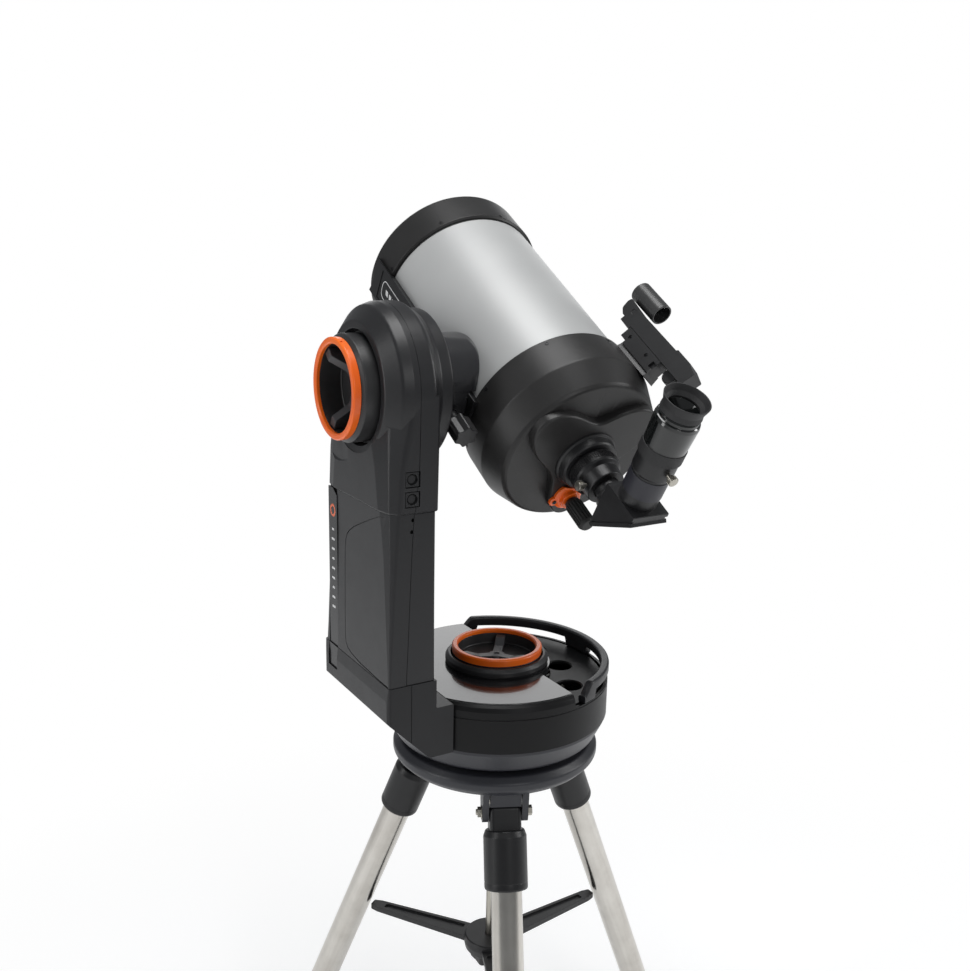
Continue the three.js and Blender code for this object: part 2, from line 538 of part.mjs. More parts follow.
// Red-dot finder on its rail. Its own axes: -Y out from the tube.
{
  const finder = group(ota);
  finder.rotation.z = rad(FINDER_TURN);
  const around = rod(CELL_R + GAP, -140, -50, FINE);
  const rail = prism([[-16, -112], [-13, -121], [-10, -128], [10, -128], [13, -121], [16, -112]], -128, -68);
  const clamp = join(box(-14, 14, -143, -127, -122, -72), box(-7, 7, -150, -142, -112, -84));
  add(finder, 'finder_bracket', join(cut(rail, around), clamp), satinBlack);
  const side = [[-150 - GAP, -60], [-166, -60], [-166, -150], [-160, -172], [-150 - GAP, -172]];
  const body = prismX(side, -13, 13);
  const nose = box(-13, 13, -166, -152, -61, -18);
  const sight = ring(15, 12.5, -78, -22, 24).translate(0, -180, 0);
  add(finder, 'finder_body', join(body, nose, sight), satinBlack);
  add(finder, 'finder_wheel', alongX(rod(10, -4, 4, SMALL)).translate(0, -139, -146), satinBlack);
}

export default root;
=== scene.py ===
import json
import math

import bmesh
import bpy
from mathutils import Matrix, Vector


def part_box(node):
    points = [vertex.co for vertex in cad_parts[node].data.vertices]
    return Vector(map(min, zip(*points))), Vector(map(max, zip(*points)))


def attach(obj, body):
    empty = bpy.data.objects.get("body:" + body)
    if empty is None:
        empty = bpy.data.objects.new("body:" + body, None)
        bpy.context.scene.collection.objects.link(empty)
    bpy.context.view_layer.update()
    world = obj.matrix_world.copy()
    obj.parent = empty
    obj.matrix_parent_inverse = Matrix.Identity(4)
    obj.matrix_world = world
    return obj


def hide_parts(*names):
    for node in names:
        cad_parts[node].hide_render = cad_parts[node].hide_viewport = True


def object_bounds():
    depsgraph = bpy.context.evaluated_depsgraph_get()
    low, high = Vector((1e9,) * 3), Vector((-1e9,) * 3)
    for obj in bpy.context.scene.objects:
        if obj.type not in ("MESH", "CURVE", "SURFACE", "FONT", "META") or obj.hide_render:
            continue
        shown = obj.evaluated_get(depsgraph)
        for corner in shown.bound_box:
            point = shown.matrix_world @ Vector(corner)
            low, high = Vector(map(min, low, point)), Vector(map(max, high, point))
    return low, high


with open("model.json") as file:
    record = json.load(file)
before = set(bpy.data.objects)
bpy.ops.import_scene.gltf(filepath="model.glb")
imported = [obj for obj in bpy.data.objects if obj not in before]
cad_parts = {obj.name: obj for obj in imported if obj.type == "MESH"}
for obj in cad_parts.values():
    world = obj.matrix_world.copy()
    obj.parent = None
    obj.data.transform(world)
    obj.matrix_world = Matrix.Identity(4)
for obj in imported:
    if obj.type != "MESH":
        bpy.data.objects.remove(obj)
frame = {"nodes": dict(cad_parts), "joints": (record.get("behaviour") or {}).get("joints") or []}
cad_low, cad_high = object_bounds()

# --- Where things stand ---------------------------------------------------------------------
# The drive base has its own axes, with the azimuth axis upright and the fork arm towards -X.
# The tube's run along the tube (Z), across it (X) and down (Y). All sizes below are millimetres.
joints = {joint["name"]: joint for joint in frame["joints"]}


def axes(origin, across, along):
    """Local axes in millimetres, from the X and Z directions."""
    along, across = Vector(along).normalized(), Vector(across).normalized()
    turn = Matrix((across, along.cross(across), along)).transposed().to_4x4()
    return Matrix.Translation(origin) @ turn @ Matrix.Scale(0.001, 4)


azimuth_axis = Vector(joints["azimuth"]["pos_m"])
base_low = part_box("base_skirt")[0].z + 0.0032
STAND = axes((azimuth_axis.x, azimuth_axis.y, base_low), (1, 0, 0), (0, 0, 1))
tube_low, tube_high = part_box("optical_tube")
altitude_axis = Vector(joints["altitude"]["pos_m"])
TUBE = axes(((tube_low.x + tube_high.x) / 2, altitude_axis.y, altitude_axis.z),
            joints["altitude"]["axis"], joints["mirror_slide"]["axis"])
LEGS = [axes(joints[f"leg_fold_{n}"]["pos_m"], joints[f"leg_fold_{n}"]["axis"],
             -Vector(joints[f"leg_slide_{n}"]["axis"])) for n in (1, 2, 3)]
ALTITUDE_Z = (altitude_axis.z - base_low) * 1000


def shift(x=0, y=0, z=0):
    return Matrix.Translation((x, y, z))


def turn(degrees, axis):
    return Matrix.Rotation(math.radians(degrees), 4, axis)


# --- Studio ---------------------------------------------------------------------------------
# A pale floor that fades into a white sweep, lit by five soft boxes. The camera stands on the
# eyepiece's side and looks a little down.
FLOOR_SIZE = 7.0
FADE_FROM, FADE_TO = 0.3, 1.5
LENS = 41.2
CAMERA_AT, CAMERA_LOOK = (-739.87, -1199.13, 681.30), (0.498734, 0.834644, -0.233738)
CAMERA_RIGHT = (0.860566, -0.508997, 0.018666)


class Wire:
    """A shader value that can be added and multiplied like a number."""

    def __init__(self, finish, socket):
        self.finish, self.socket = finish, socket

    def _math(self, operation, other):
        return self.finish.node("Math", {"operation": operation}, {0: self, 1: other})

    def __add__(self, other):
        return self._math("ADD", other)

    def __mul__(self, other):
        return self._math("MULTIPLY", other)


class Finish:
    """A surface finish: a Principled shader with what varies over the surface wired in."""

    def __init__(self, name, **constants):
        self.material = bpy.data.materials.new(name)
        self.material.use_nodes = True
        self.tree = self.material.node_tree
        self.shader = self.tree.nodes["Principled BSDF"]
        for socket, amount in constants.items():
            label = socket.replace("_", " ").title().replace("Ior", "IOR")
            self.shader.inputs[label].default_value = amount
        self.place = self.node("TexCoord", output="Object")

    def node(self, kind, settings=None, sockets=None, output=0):
        """Adds a node and hands out one of its outputs as a wire."""
        node = self.tree.nodes.new("ShaderNode" + kind)
        for name, setting in (settings or {}).items():
            setattr(node, name, setting)
        for name, value in (sockets or {}).items():
            if isinstance(value, Wire):
                self.tree.links.new(value.socket, node.inputs[name])
            else:
                node.inputs[name].default_value = value
        return Wire(self, node.outputs[output])

    def feed(self, **wires):
        for name, wire in wires.items():
            self.tree.links.new(wire.socket, self.shader.inputs[name.replace("_", " ").title()])

    def noise(self, scale, detail=3.0, stretch=None, turned_by=None, roughness=0.5):
        place = self.place
        if stretch:
            place = self.node("Mapping", None, {"Vector": place, "Rotation": turned_by})
            place = self.node("Mapping", None, {"Vector": place, "Scale": stretch})
        return self.node("TexNoise", None, {
            "Vector": place, "Scale": scale, "Detail": detail, "Roughness": roughness})

    def tones(self, wire, dark, light):
        ramp = self.node("ValToRGB", None, {"Fac": wire})
        for stop, position, colour in zip(ramp.socket.node.color_ramp.elements, (0.3, 0.7), (dark, light)):
            stop.position, stop.color = position, (*colour, 1)
        return ramp

    def bump(self, height, distance):
        self.feed(normal=self.node("Bump", None, {"Height": height, "Distance": distance}))


floor_mesh = bpy.data.meshes.new("floor")
floor_builder = bmesh.new()
bmesh.ops.create_circle(floor_builder, cap_ends=True, segments=96, radius=FLOOR_SIZE)
floor_builder.to_mesh(floor_mesh)
floor = bpy.data.objects.new("floor", floor_mesh)
bpy.context.scene.collection.objects.link(floor)
floor.location.z = cad_low.z - 0.0005
paper = Finish("studio_paper", base_color=(0.93, 0.93, 0.93, 1), roughness=0.8,
               emission_color=(1, 1, 1, 1), emission_strength=0.25)
far_off = paper.node("VectorMath", {"operation": "LENGTH"}, {0: paper.place}, "Value")
fade = paper.node("MapRange", {"interpolation_type": "SMOOTHSTEP"},
                  {"Value": far_off, "From Min": FADE_FROM, "From Max": FADE_TO})
camera_ray = paper.node("LightPath", output="Is Camera Ray")
paper_mix = paper.node("MixShader", None, {0: fade * camera_ray, 1: Wire(paper, paper.shader.outputs[0]),
                                           2: paper.node("Emission")})
paper.tree.links.new(paper_mix.socket, paper.tree.nodes["Material Output"].inputs["Surface"])
floor_mesh.materials.append(paper.material)

camera = bpy.data.objects.new("camera", bpy.data.cameras.new("camera"))
bpy.context.scene.collection.objects.link(camera)
bpy.context.scene.camera = camera
camera.data.lens = LENS
camera.data.sensor_width = 36
camera.data.clip_end = 60
look, right = Vector(CAMERA_LOOK).normalized(), Vector(CAMERA_RIGHT).normalized()
camera.matrix_world = Matrix.Translation(STAND @ Vector(CAMERA_AT)) @ Matrix(
    (right, right.cross(look), -look)).transposed().to_4x4()


def soft_box(name, place, aim, width, height, power):
    lamp = bpy.data.lights.new(name, "AREA")
    lamp.shape = "RECTANGLE"
    lamp.size, lamp.size_y = width, height
    lamp.energy = power
    lamp_object = bpy.data.objects.new(name, lamp)
    bpy.context.scene.collection.objects.link(lamp_object)
    lamp_object.location = place
    lamp_object.rotation_mode = "QUATERNION"
    lamp_object.rotation_quaternion = (Vector(aim) - Vector(place)).to_track_quat("-Z", "Y")
    lamp_object.visible_camera = False


soft_box("top_light", (-0.1, -0.2, 3.2), (0, 0, 0.9), 1.2, 1.2, 32)
soft_box("left_light", (-2.7, 0.2, 1.7), (0, 0, 1.0), 0.6, 2.4, 20)
soft_box("right_light", (2.5, -1.3, 2.0), (0.1, 0, 1.1), 0.5, 2.0, 28)
soft_box("front_light", (-0.4, -3.2, 2.4), (0, 0, 0.9), 0.8, 1.0, 13)
soft_box("back_light", (1.5, 2.6, 1.8), (0, 0, 1.0), 2.2, 1.3, 13)

world = bpy.data.worlds.new("studio")
bpy.context.scene.world = world
world.use_nodes = True
sky = world.node_tree
sky_light = sky.nodes["Background"]
seen = sky.nodes.new("ShaderNodeBackground")
seen.inputs["Color"].default_value = (1, 1, 1, 1)
sky_light.inputs["Color"].default_value = (0.94, 0.97, 1.0, 1)
sky_light.inputs["Strength"].default_value = 0.26
rays = sky.nodes.new("ShaderNodeLightPath")
blend = sky.nodes.new("ShaderNodeMixShader")
sky.links.new(rays.outputs["Is Camera Ray"], blend.inputs[0])
sky.links.new(sky_light.outputs[0], blend.inputs[1])
sky.links.new(seen.outputs[0], blend.inputs[2])
sky.links.new(blend.outputs[0], sky.nodes["World Output"].inputs["Surface"])
bpy.context.scene.view_settings.view_transform = "Standard"
bpy.context.scene.view_settings.look = "None"


# --- Tripod head ----------------------------------------------------------------------------
# A round cast-aluminium plate in a blue-grey powder coat, with a softly rounded rim. Two ears
# hang under it for each leg, and the middle is threaded for the centre rod.
def shade(colour, factor):
    return tuple(min(1.0, part * factor) for part in colour)


def moulded(name, colour, roughness, grain=1500, depth=0.00004, metallic=0.0, vary=0.12,
            rough_vary=0.12, **constants):
    """A moulded or powder-coated finish: fine grain, faint cloudy tone, uneven gloss."""
    finish = Finish(name, metallic=metallic, **constants)
    cloud = finish.noise(9, 4)
    smudge = finish.noise(38, 5, roughness=0.6)
    speck = finish.noise(grain, 2)
    tone = cloud * 0.6 + smudge * 0.3 + speck * 0.1
    finish.feed(base_color=finish.tones(tone, shade(colour, 1 - vary), shade(colour, 1 + vary)),
                roughness=smudge * rough_vary + (speck * (rough_vary * 0.5)
                                                 + (roughness - rough_vary * 0.75)))
    finish.bump(speck + smudge * 0.05, depth)
    return finish.material


def rounded(points, steps=5):
    """An outline whose corners are arcs where a point has a third value, its radius."""
    outline = []
    for i, point in enumerate(points):
        here = Vector(point[:2])
        if len(point) < 3:
            outline.append(here)
            continue
        back = Vector(points[i - 1][:2]) - here
        ahead = Vector(points[(i + 1) % len(points)][:2]) - here
        half = back.angle(ahead) / 2
        reach = min(point[2] / math.tan(half), back.length * 0.49, ahead.length * 0.49)
        start = here + back.normalized() * reach
        end = here + ahead.normalized() * reach
        middle = here + (back.normalized() + ahead.normalized()).normalized() * (
            reach / math.cos(half))
        sweep = math.pi - 2 * half
        if (start - middle).cross(end - middle) < 0:
            sweep = -sweep
        for k in range(steps + 1):
            outline.append(middle + Matrix.Rotation(sweep * k / steps, 2) @ (start - middle))
    return outline


def body_of(name, points, faces, place):
    """A closed mesh with its place in its points and its faces outwards."""
    mesh = bpy.data.meshes.new(name)
    mesh.from_pydata([place @ Vector(point) for point in points], [], faces)
    builder = bmesh.new()
    builder.from_mesh(mesh)
    bmesh.ops.remove_doubles(builder, verts=builder.verts, dist=1e-7)
    bmesh.ops.recalc_face_normals(builder, faces=builder.faces)
    builder.to_mesh(mesh)
    builder.free()
    piece = bpy.data.objects.new(name, mesh)
    bpy.context.scene.collection.objects.link(piece)
    return piece


def lathe(name, outline, place, around=96):
    """A body turned about Z from (radius, height) points, rounded where they say."""
    points, rows, faces = [], [], []
    for radius, height in rounded(outline):
        if radius < 1e-6:
            rows.append([len(points)] * around)
            points.append((0, 0, height))
        else:
            rows.append(list(range(len(points), len(points) + around)))
            points += [(radius * math.cos(math.tau * k / around),
                        radius * math.sin(math.tau * k / around), height)
                       for k in range(around)]
    for low, high in zip(rows, rows[1:] + rows[:1]):
        for k in range(around):
            corners = dict.fromkeys((low[k - 1], low[k], high[k], high[k - 1]))
            if len(corners) > 2:
                faces.append(tuple(corners))
    return body_of(name, points, faces, place)


def skin(name, rings, place):
    """A closed body through rings with the same number of points."""
    points = [point for ring in rings for point in ring]
    count = len(rings[0])
    last = len(points) - count
    faces = [tuple(range(count)), tuple(range(last, last + count))]
    for low in range(0, last, count):
        faces += [(low + (k - 1) % count, low + k, low + k + count, low + (k - 1) % count + count)
                  for k in range(count)]
    return body_of(name, points, faces, place)


def loft(name, sections, place):
    """A body through level outlines, each with its own height."""
    return skin(name, [[(x, y, height) for x, y in outline] for height, outline in sections], place)


def rod(name, radius, low, high, place, around=32):
    """A plain cylinder about Z, mostly for boring a hole."""
    return lathe(name, [(0, low), (radius, low), (radius, high), (0, high)], place, around)


def star(count, inner, outer, soft_inner=0, soft_outer=0):
    """Points round the Z axis at two radii in turn, with rounded corners."""
    points = []
    for k in range(count):
        radius, soft = (outer, soft_outer) if k % 2 else (inner, soft_inner)
        bearing = math.radians(360 / count * k)
        corner = (radius * math.cos(bearing), radius * math.sin(bearing))
        points.append((*corner, soft) if soft else corner)
    return points


def prism(name, outline, low, high, place):
    """An outline pushed along Z."""
    flat = rounded(outline)
    return loft(name, [(low, flat), (high, flat)], place)


PUSH_X = Matrix(((0, 0, 1, 0), (1, 0, 0, 0), (0, 1, 0, 0), (0, 0, 0, 1)))  # outline in YZ
PUSH_Y = Matrix(((1, 0, 0, 0), (0, 0, 1, 0), (0, 1, 0, 0), (0, 0, 0, 1)))  # outline in XZ


def block(name, x0, x1, y0, y1, z0, z1, place):
    return prism(name, [(x0, y0), (x1, y0), (x1, y1), (x0, y1)], z0, z1, place)


def freeze(piece):
    """Turns what the modifiers make into the piece's own mesh."""
    evaluated = piece.evaluated_get(bpy.context.evaluated_depsgraph_get())
    made = bpy.data.meshes.new_from_object(evaluated)
    piece.modifiers.clear()
    piece.data = made
    return piece


def combine(piece, tools, operation):
    for tool in tools:
        step = piece.modifiers.new("combine", "BOOLEAN")
        step.operation, step.object, step.solver = operation, tool, "EXACT"
    freeze(piece)
    for tool in tools:
        bpy.data.objects.remove(tool)
    return piece


def cut(piece, *tools):
    return combine(piece, tools, "DIFFERENCE")


def weld(piece, *tools):
    return combine(piece, tools, "UNION")


def soften(piece, edge, segments=3):
    """Rounds the sharp edges, in millimetres."""
    step = piece.modifiers.new("edges", "BEVEL")
    step.width, step.segments, step.limit_method = edge / 1000, segments, "ANGLE"
    step.angle_limit = math.radians(30)
    step.miter_outer = "MITER_ARC"
    return freeze(piece)


def smooth(piece):
    piece.data.shade_smooth()
    piece.data.set_sharp_from_angle(angle=math.radians(32))


def fit(piece, finish, body, slot, *nodes, edge=0.0):
    """Rounds the edges, shades smoothly, paints, and hands the piece to its body."""
    if edge:
        soften(piece, edge)
    smooth(piece)
    piece.modifiers.new("shading", "WEIGHTED_NORMAL").keep_sharp = True
    freeze(piece)
    piece.data.materials.clear()
    piece.data.materials.append(finish)
    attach(piece, body)
    if nodes:
        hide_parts(*nodes)


def round_the_axis(name, item, count, radius, place, finish, body, start=0.0):
    """Hands its body copies of a small item round the Z axis, made by Geometry Nodes."""
    tree = bpy.data.node_groups.new("round_the_axis", "GeometryNodeTree")
    tree.interface.new_socket("Geometry", in_out="OUTPUT", socket_type="NodeSocketGeometry")
    wanted = {"Item": ("NodeSocketObject", item), "Count": ("NodeSocketInt", count),
              "Radius": ("NodeSocketFloat", radius / 1000),
              "Start": ("NodeSocketFloat", math.radians(start)),
              "Finish": ("NodeSocketMaterial", finish)}
    sockets = {label: tree.interface.new_socket(label, in_out="INPUT", socket_type=kind)
               for label, (kind, value) in wanted.items()}

    def add(kind, **links):
        node = tree.nodes.new(kind)
        for socket, source in links.items():
            tree.links.new(source, node.inputs[socket.replace("_", " ")])
        return node

    given = add("NodeGroupInput")
    circle = add("GeometryNodeMeshCircle", Vertices=given.outputs["Count"],
                 Radius=given.outputs["Radius"])
    place_now = add("GeometryNodeInputPosition")
    split = add("ShaderNodeSeparateXYZ", Vector=place_now.outputs[0])
    bearing = tree.nodes.new("ShaderNodeMath")
    bearing.operation = "ARCTAN2"
    tree.links.new(split.outputs["Y"], bearing.inputs[0])
    tree.links.new(split.outputs["X"], bearing.inputs[1])
    facing = add("ShaderNodeCombineXYZ", Z=bearing.outputs[0])
    source = add("GeometryNodeObjectInfo", Object=given.outputs["Item"])
    copies = add("GeometryNodeInstanceOnPoints", Points=circle.outputs["Mesh"],
                 Instance=source.outputs["Geometry"], Rotation=facing.outputs[0])
    whole = add("GeometryNodeRealizeInstances", Geometry=copies.outputs[0])
    set_off = add("ShaderNodeCombineXYZ", Z=given.outputs["Start"])
    turned_round = add("GeometryNodeTransform", Geometry=whole.outputs[0],
                       Rotation=set_off.outputs[0])
    painted = add("GeometryNodeSetMaterial", Geometry=turned_round.outputs[0],
                  Material=given.outputs["Finish"])
    out = tree.nodes.new("NodeGroupOutput")
    tree.links.new(painted.outputs[0], out.inputs[0])

    piece = bpy.data.objects.new(name, bpy.data.meshes.new(name))
    bpy.context.scene.collection.objects.link(piece)
    step = piece.modifiers.new("copies", "NODES")
    step.node_group = tree
    for label, (kind, value) in wanted.items():
        step[sockets[label].identifier] = value
    freeze(piece)
    bpy.data.objects.remove(item)
    piece.data.transform(place @ Matrix.Scale(1000, 4))
    smooth(piece)
    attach(piece, body)


BENCH = Matrix.Scale(0.001, 4)  # small items are made at the origin, in millimetres


def hex_head(radius, height):
    """A hexagon screw head on a washer, pointing along +Z."""
    head = prism("item", star(6, radius, radius, 0.4, 0.4), 0.8, height, BENCH)
    washer = lathe("washer", [(0, 0), (radius * 1.25, 0, 0.3), (radius * 1.25, 1.0, 0.3), (0, 1.0)],
                   BENCH, 24)
    return soften(weld(head, washer), 0.3, 2)


def socket_head(radius, height, drive=0.45):
    """A round screw head with a hexagon socket, pointing along +Z."""
    head = lathe("item", [(0, 0), (radius, 0), (radius, height, 0.5), (0, height)], BENCH, 24)
    return cut(head, prism("hole", star(6, radius * drive, radius * drive), height * 0.35, height + 1,
                           BENCH))


def set_in(head, name, place, finish, body):
    """Puts a screw head made at the bench where it belongs."""
    head.data.transform(place @ Matrix.Scale(1000, 4))
    head.name = name
    fit(head, finish, body, "steel")


powder_coat = moulded("powder_coat", (0.022, 0.023, 0.029), 0.40, 900, 0.00006, vary=0.10)
zinc = moulded("zinc_plated_steel", (0.45, 0.43, 0.38), 0.32, 2500, 0.00001, metallic=1.0)

PLATE_TOP = -3.5
PLATE_LOW = -30.5
HINGE_R = 112.7
HINGE_Z = -62
plate = lathe("tripod_plate", [(8, PLATE_LOW, 1), (112, PLATE_LOW), (113, PLATE_LOW + 3),
                               (118, PLATE_LOW + 3), (119, PLATE_LOW), (131, PLATE_LOW, 4),
                               (139.5, PLATE_LOW + 9, 7), (139.5, PLATE_TOP - 8, 6),
                               (131.5, PLATE_TOP, 6), (8, PLATE_TOP, 1)], STAND, 160)
SPOKES = [axes(leg.translation, joints[f"leg_fold_{n}"]["axis"], (0, 0, 1)) @ shift(0, HINGE_R, -HINGE_Z)
          for n, leg in enumerate(LEGS, 1)]
for leg, spoke in zip(LEGS, SPOKES):
    for low in (-29.5, 21.5):
        ear = prism("ear", [(-HINGE_R - 17, PLATE_LOW + 2), (-HINGE_R - 11, HINGE_Z - 11, 7),
                            (-HINGE_R + 9, HINGE_Z - 11, 7), (-HINGE_R + 24, PLATE_LOW + 2)],
                    low, low + 8, spoke @ PUSH_X)
        weld(plate, ear)
    cut(plate, rod("bore", 4.4, -40, 40, leg @ turn(90, "Y"), 24))
for leg, spoke in zip(LEGS, SPOKES):
    rest = block("rest", -20, 20, -HINGE_R - 15, -HINGE_R + 22, HINGE_Z - 2, PLATE_LOW + 2, spoke)
    swing = rod("swing", 20.5, -40, 40, leg @ turn(90, "Y"), 64)
    weld(plate, cut(rest, swing, block("under", -30, 30, -HINGE_R - 30, -HINGE_R + 30, -90,
                                       HINGE_Z + 8, spoke)))
fit(plate, powder_coat, "tripod", "cast_aluminium", "tripod_head", edge=1.2)
rib = soften(block("item", -42, 42, -2, 2, PLATE_LOW - 9, PLATE_LOW + 2, BENCH), 0.8)
round_the_axis("tripod_plate_ribs", rib, 3, 62, STAND, powder_coat, "tripod", 5.7)

# --- Legs -----------------------------------------------------------------------------------
# Polished stainless tubes in black moulded sleeves that hinge on bolts between the ears. A
# clamp collar at the lower end holds a thinner tube that slides, on a rubber foot.
BRACE_Z = -330
COLLAR_LOW = -610
COLLAR_SEAT = COLLAR_LOW + 24
LEG_R = 20
LEG_SPLAY = 22
SPLAY_COS, SPLAY_TAN = math.cos(math.radians(LEG_SPLAY)), math.tan(math.radians(LEG_SPLAY))
FOOT_R, FOOT_HIGH = 12, 14
FOOT_END = -(base_low * 1000 + HINGE_Z) / SPLAY_COS + FOOT_HIGH + FOOT_R * SPLAY_TAN
sleeve_black = moulded("sleeve_black", (0.009, 0.009, 0.010), 0.38, 1200, 0.00005,
                       specular_ior_level=0.4)
foot_rubber = moulded("foot_rubber", (0.018, 0.018, 0.018), 0.8, 600, 0.00012)


def stainless(name, along):
    """Polished steel tube with faint lines along it, a warm cast and finger marks."""
    finish = Finish(name, metallic=1.0)
    to_tube = along.to_3x3().normalized().inverted().to_euler()
    lines = finish.noise(1400, 3, (1, 1, 0.012), to_tube)
    bands = finish.noise(60, 3, (1, 1, 0.05), to_tube)
    marks = finish.noise(24, 5, roughness=0.65)
    finish.feed(base_color=finish.tones(bands * 0.6 + marks * 0.4, (0.42, 0.395, 0.36),
                                        (0.66, 0.64, 0.60)),
                roughness=lines * 0.10 + (marks * 0.12 + 0.10))
    finish.bump(lines, 0.000012)
    return finish.material


for n, leg in enumerate(LEGS, 1):
    upper, lower = f"leg_{n}", f"lower_leg_{n}"
    steel_here = stainless(f"stainless_tube_{n}", leg)
    sleeve = lathe(f"leg_sleeve_{n}", [(20.3, -96), (27.2, -96, 1.2), (28, -93.5, 1), (28, -88),
                                       (27.6, -87.2), (27.6, -86.6), (28, -85.8), (28, -30, 3),
                                       (25, -22, 2.5), (0, -22), (0, -34), (20.3, -34)], leg, 64)
    weld(sleeve, soften(block("cheek", -20.5, 20.5, -16, 16, -30, 9, leg), 6, 5))
    cut(sleeve, rod("hinge_hole", 4.1, -40, 40, leg @ turn(90, "Y"), 24))
    fit(sleeve, sleeve_black, upper, "black_plastic", f"leg_sleeve_{n}", edge=0.7)
    bolt = lathe(f"hinge_bolt_{n}", [(0, -37), (3.4, -37, 0.6), (4, -35), (4, 31), (0, 31)],
                 leg @ turn(90, "Y"), 32)
    fit(bolt, zinc, upper, "steel")
    for side in (-1, 1):
        set_in(hex_head(6.8, 6.2 if side > 0 else 5.2), f"hinge_{'head' if side > 0 else 'nut'}_{n}",
               leg @ turn(90 * side, "Y") @ shift(0, 0, 29.6), zinc, upper)
    tube = lathe(f"leg_tube_{n}", [(18, COLLAR_SEAT), (LEG_R, COLLAR_SEAT), (LEG_R, -35, 0.5), (18, -35)],
                 leg, 96)
    fit(tube, steel_here, upper, "stainless", f"leg_upper_tube_{n}")
    collar = lathe(f"leg_collar_{n}", [(17.2, COLLAR_LOW, 0.6), (25, COLLAR_LOW, 1.5),
                                       (25, COLLAR_LOW + 10), (24.2, COLLAR_LOW + 11),
                                       (24.2, COLLAR_LOW + 17), (25, COLLAR_LOW + 18),
                                       (25, COLLAR_LOW + 32, 3), (LEG_R + 0.2, COLLAR_LOW + 38),
                                       (LEG_R + 0.1, COLLAR_SEAT), (17.2, COLLAR_SEAT)], leg, 64)
    across = leg @ shift(0, 0, COLLAR_LOW + 14) @ turn(90, "Y")
    weld(collar, lathe("boss", [(0, 18), (9.5, 18), (8, 34, 1), (0, 34)], across, 32))
    cut(collar, rod("bore", 3.3, 0, 70, across, 24),
        rod("bore", 17.2, COLLAR_LOW - 30, COLLAR_SEAT, leg, 64))
    fit(collar, sleeve_black, upper, "black_plastic", edge=0.5)
    slider = lathe(f"leg_slider_{n}", [(15, FOOT_END), (16.9, FOOT_END), (16.9, -120, 0.5), (15, -120)],
                   leg, 96)
    fit(slider, steel_here, lower, "stainless", f"leg_lower_tube_{n}")
    foot = lathe(f"leg_foot_{n}", [(0, FOOT_END - FOOT_HIGH), (FOOT_R, FOOT_END - FOOT_HIGH, 1.5),
                                   (21, FOOT_END - 7, 2), (21, FOOT_END + 2),
                                   (19.6, FOOT_END + 3.5), (21, FOOT_END + 5),
                                   (21, FOOT_END + 9, 2), (17.6, FOOT_END + 15, 1),
                                   (16.95, FOOT_END + 15), (16.95, FOOT_END), (0, FOOT_END)], leg, 48)
    fit(foot, foot_rubber, lower, "rubber")
    knob = prism(f"leg_clamp_knob_{n}", star(10, 12.4, 17, 3.5, 4.5), 36, 46, across)
    weld(soften(knob, 1.6, 3), lathe("screw", [(0, 17.6), (3, 17.6), (3, 33), (9, 33, 1), (9, 37),
                                               (0, 37)], across, 32))
    fit(knob, sleeve_black, f"leg_clamp_{n}", "black_plastic", f"leg_clamp_screw_{n}")

# --- Centre rod and leg brace ---------------------------------------------------------------
# A plated rod hangs from the head plate. A moulded three-armed brace slides on it and a lobed
# nut pulls it against the legs.
brace_black = moulded("brace_black", (0.011, 0.011, 0.012), 0.45, 1100, 0.00006)
centre_rod = lathe("centre_rod", [(0, BRACE_Z - 70), (6.2, BRACE_Z - 70, 0.6), (7, BRACE_Z - 68),
                                  (7, PLATE_LOW - 12), (19, PLATE_LOW - 12, 0.8),
                                  (20, PLATE_LOW - 11, 0.5), (20, PLATE_LOW - 0.3, 0.6),
                                  (7, PLATE_LOW - 0.3), (7, PLATE_TOP - 0.5), (0, PLATE_TOP - 0.5)],
                   STAND, 48)
fit(centre_rod, zinc, "tripod", "steel", "centre_rod")
brace_reach = HINGE_R + (HINGE_Z - BRACE_Z) * SPLAY_TAN - LEG_R / SPLAY_COS - 6
brace = lathe("leg_brace", [(7.5, BRACE_Z - 10, 0.6), (36, BRACE_Z - 10, 2), (38, BRACE_Z, 8),
                            (36, BRACE_Z + 10, 2), (7.5, BRACE_Z + 10, 0.6)], STAND, 72)
for n in (1, 2, 3):
    x, y = joints[f"leg_fold_{n}"]["axis"][:2]
    bearing = STAND @ turn(math.degrees(math.atan2(y, x)), "Z")
    arm = prism("arm", [(-16, -30), (-9, -brace_reach + 12, 6), (-6, -brace_reach, 2),
                        (6, -brace_reach, 2), (9, -brace_reach + 12, 6), (16, -30)],
                BRACE_Z - 4, BRACE_Z + 4, bearing)
    pocket = prism("pocket", [(-10, -44, 2), (-4.5, -brace_reach + 22, 2),
                              (4.5, -brace_reach + 22, 2), (10, -44, 2)],
                   BRACE_Z + 1.5, BRACE_Z + 9, bearing)
    weld(brace, cut(arm, pocket))
fit(brace, brace_black, "brace", "black_plastic", "leg_brace", edge=0.9)
brace_nut = prism("brace_nut", star(12, 24, 29, 5, 5), BRACE_Z - 28, BRACE_Z - 10.3, STAND)
cut(brace_nut, rod("bore", 7.5, BRACE_Z - 70, BRACE_Z + 30, STAND))
fit(brace_nut, brace_black, "brace_nut", "black_plastic", "brace_nut", edge=1.8)

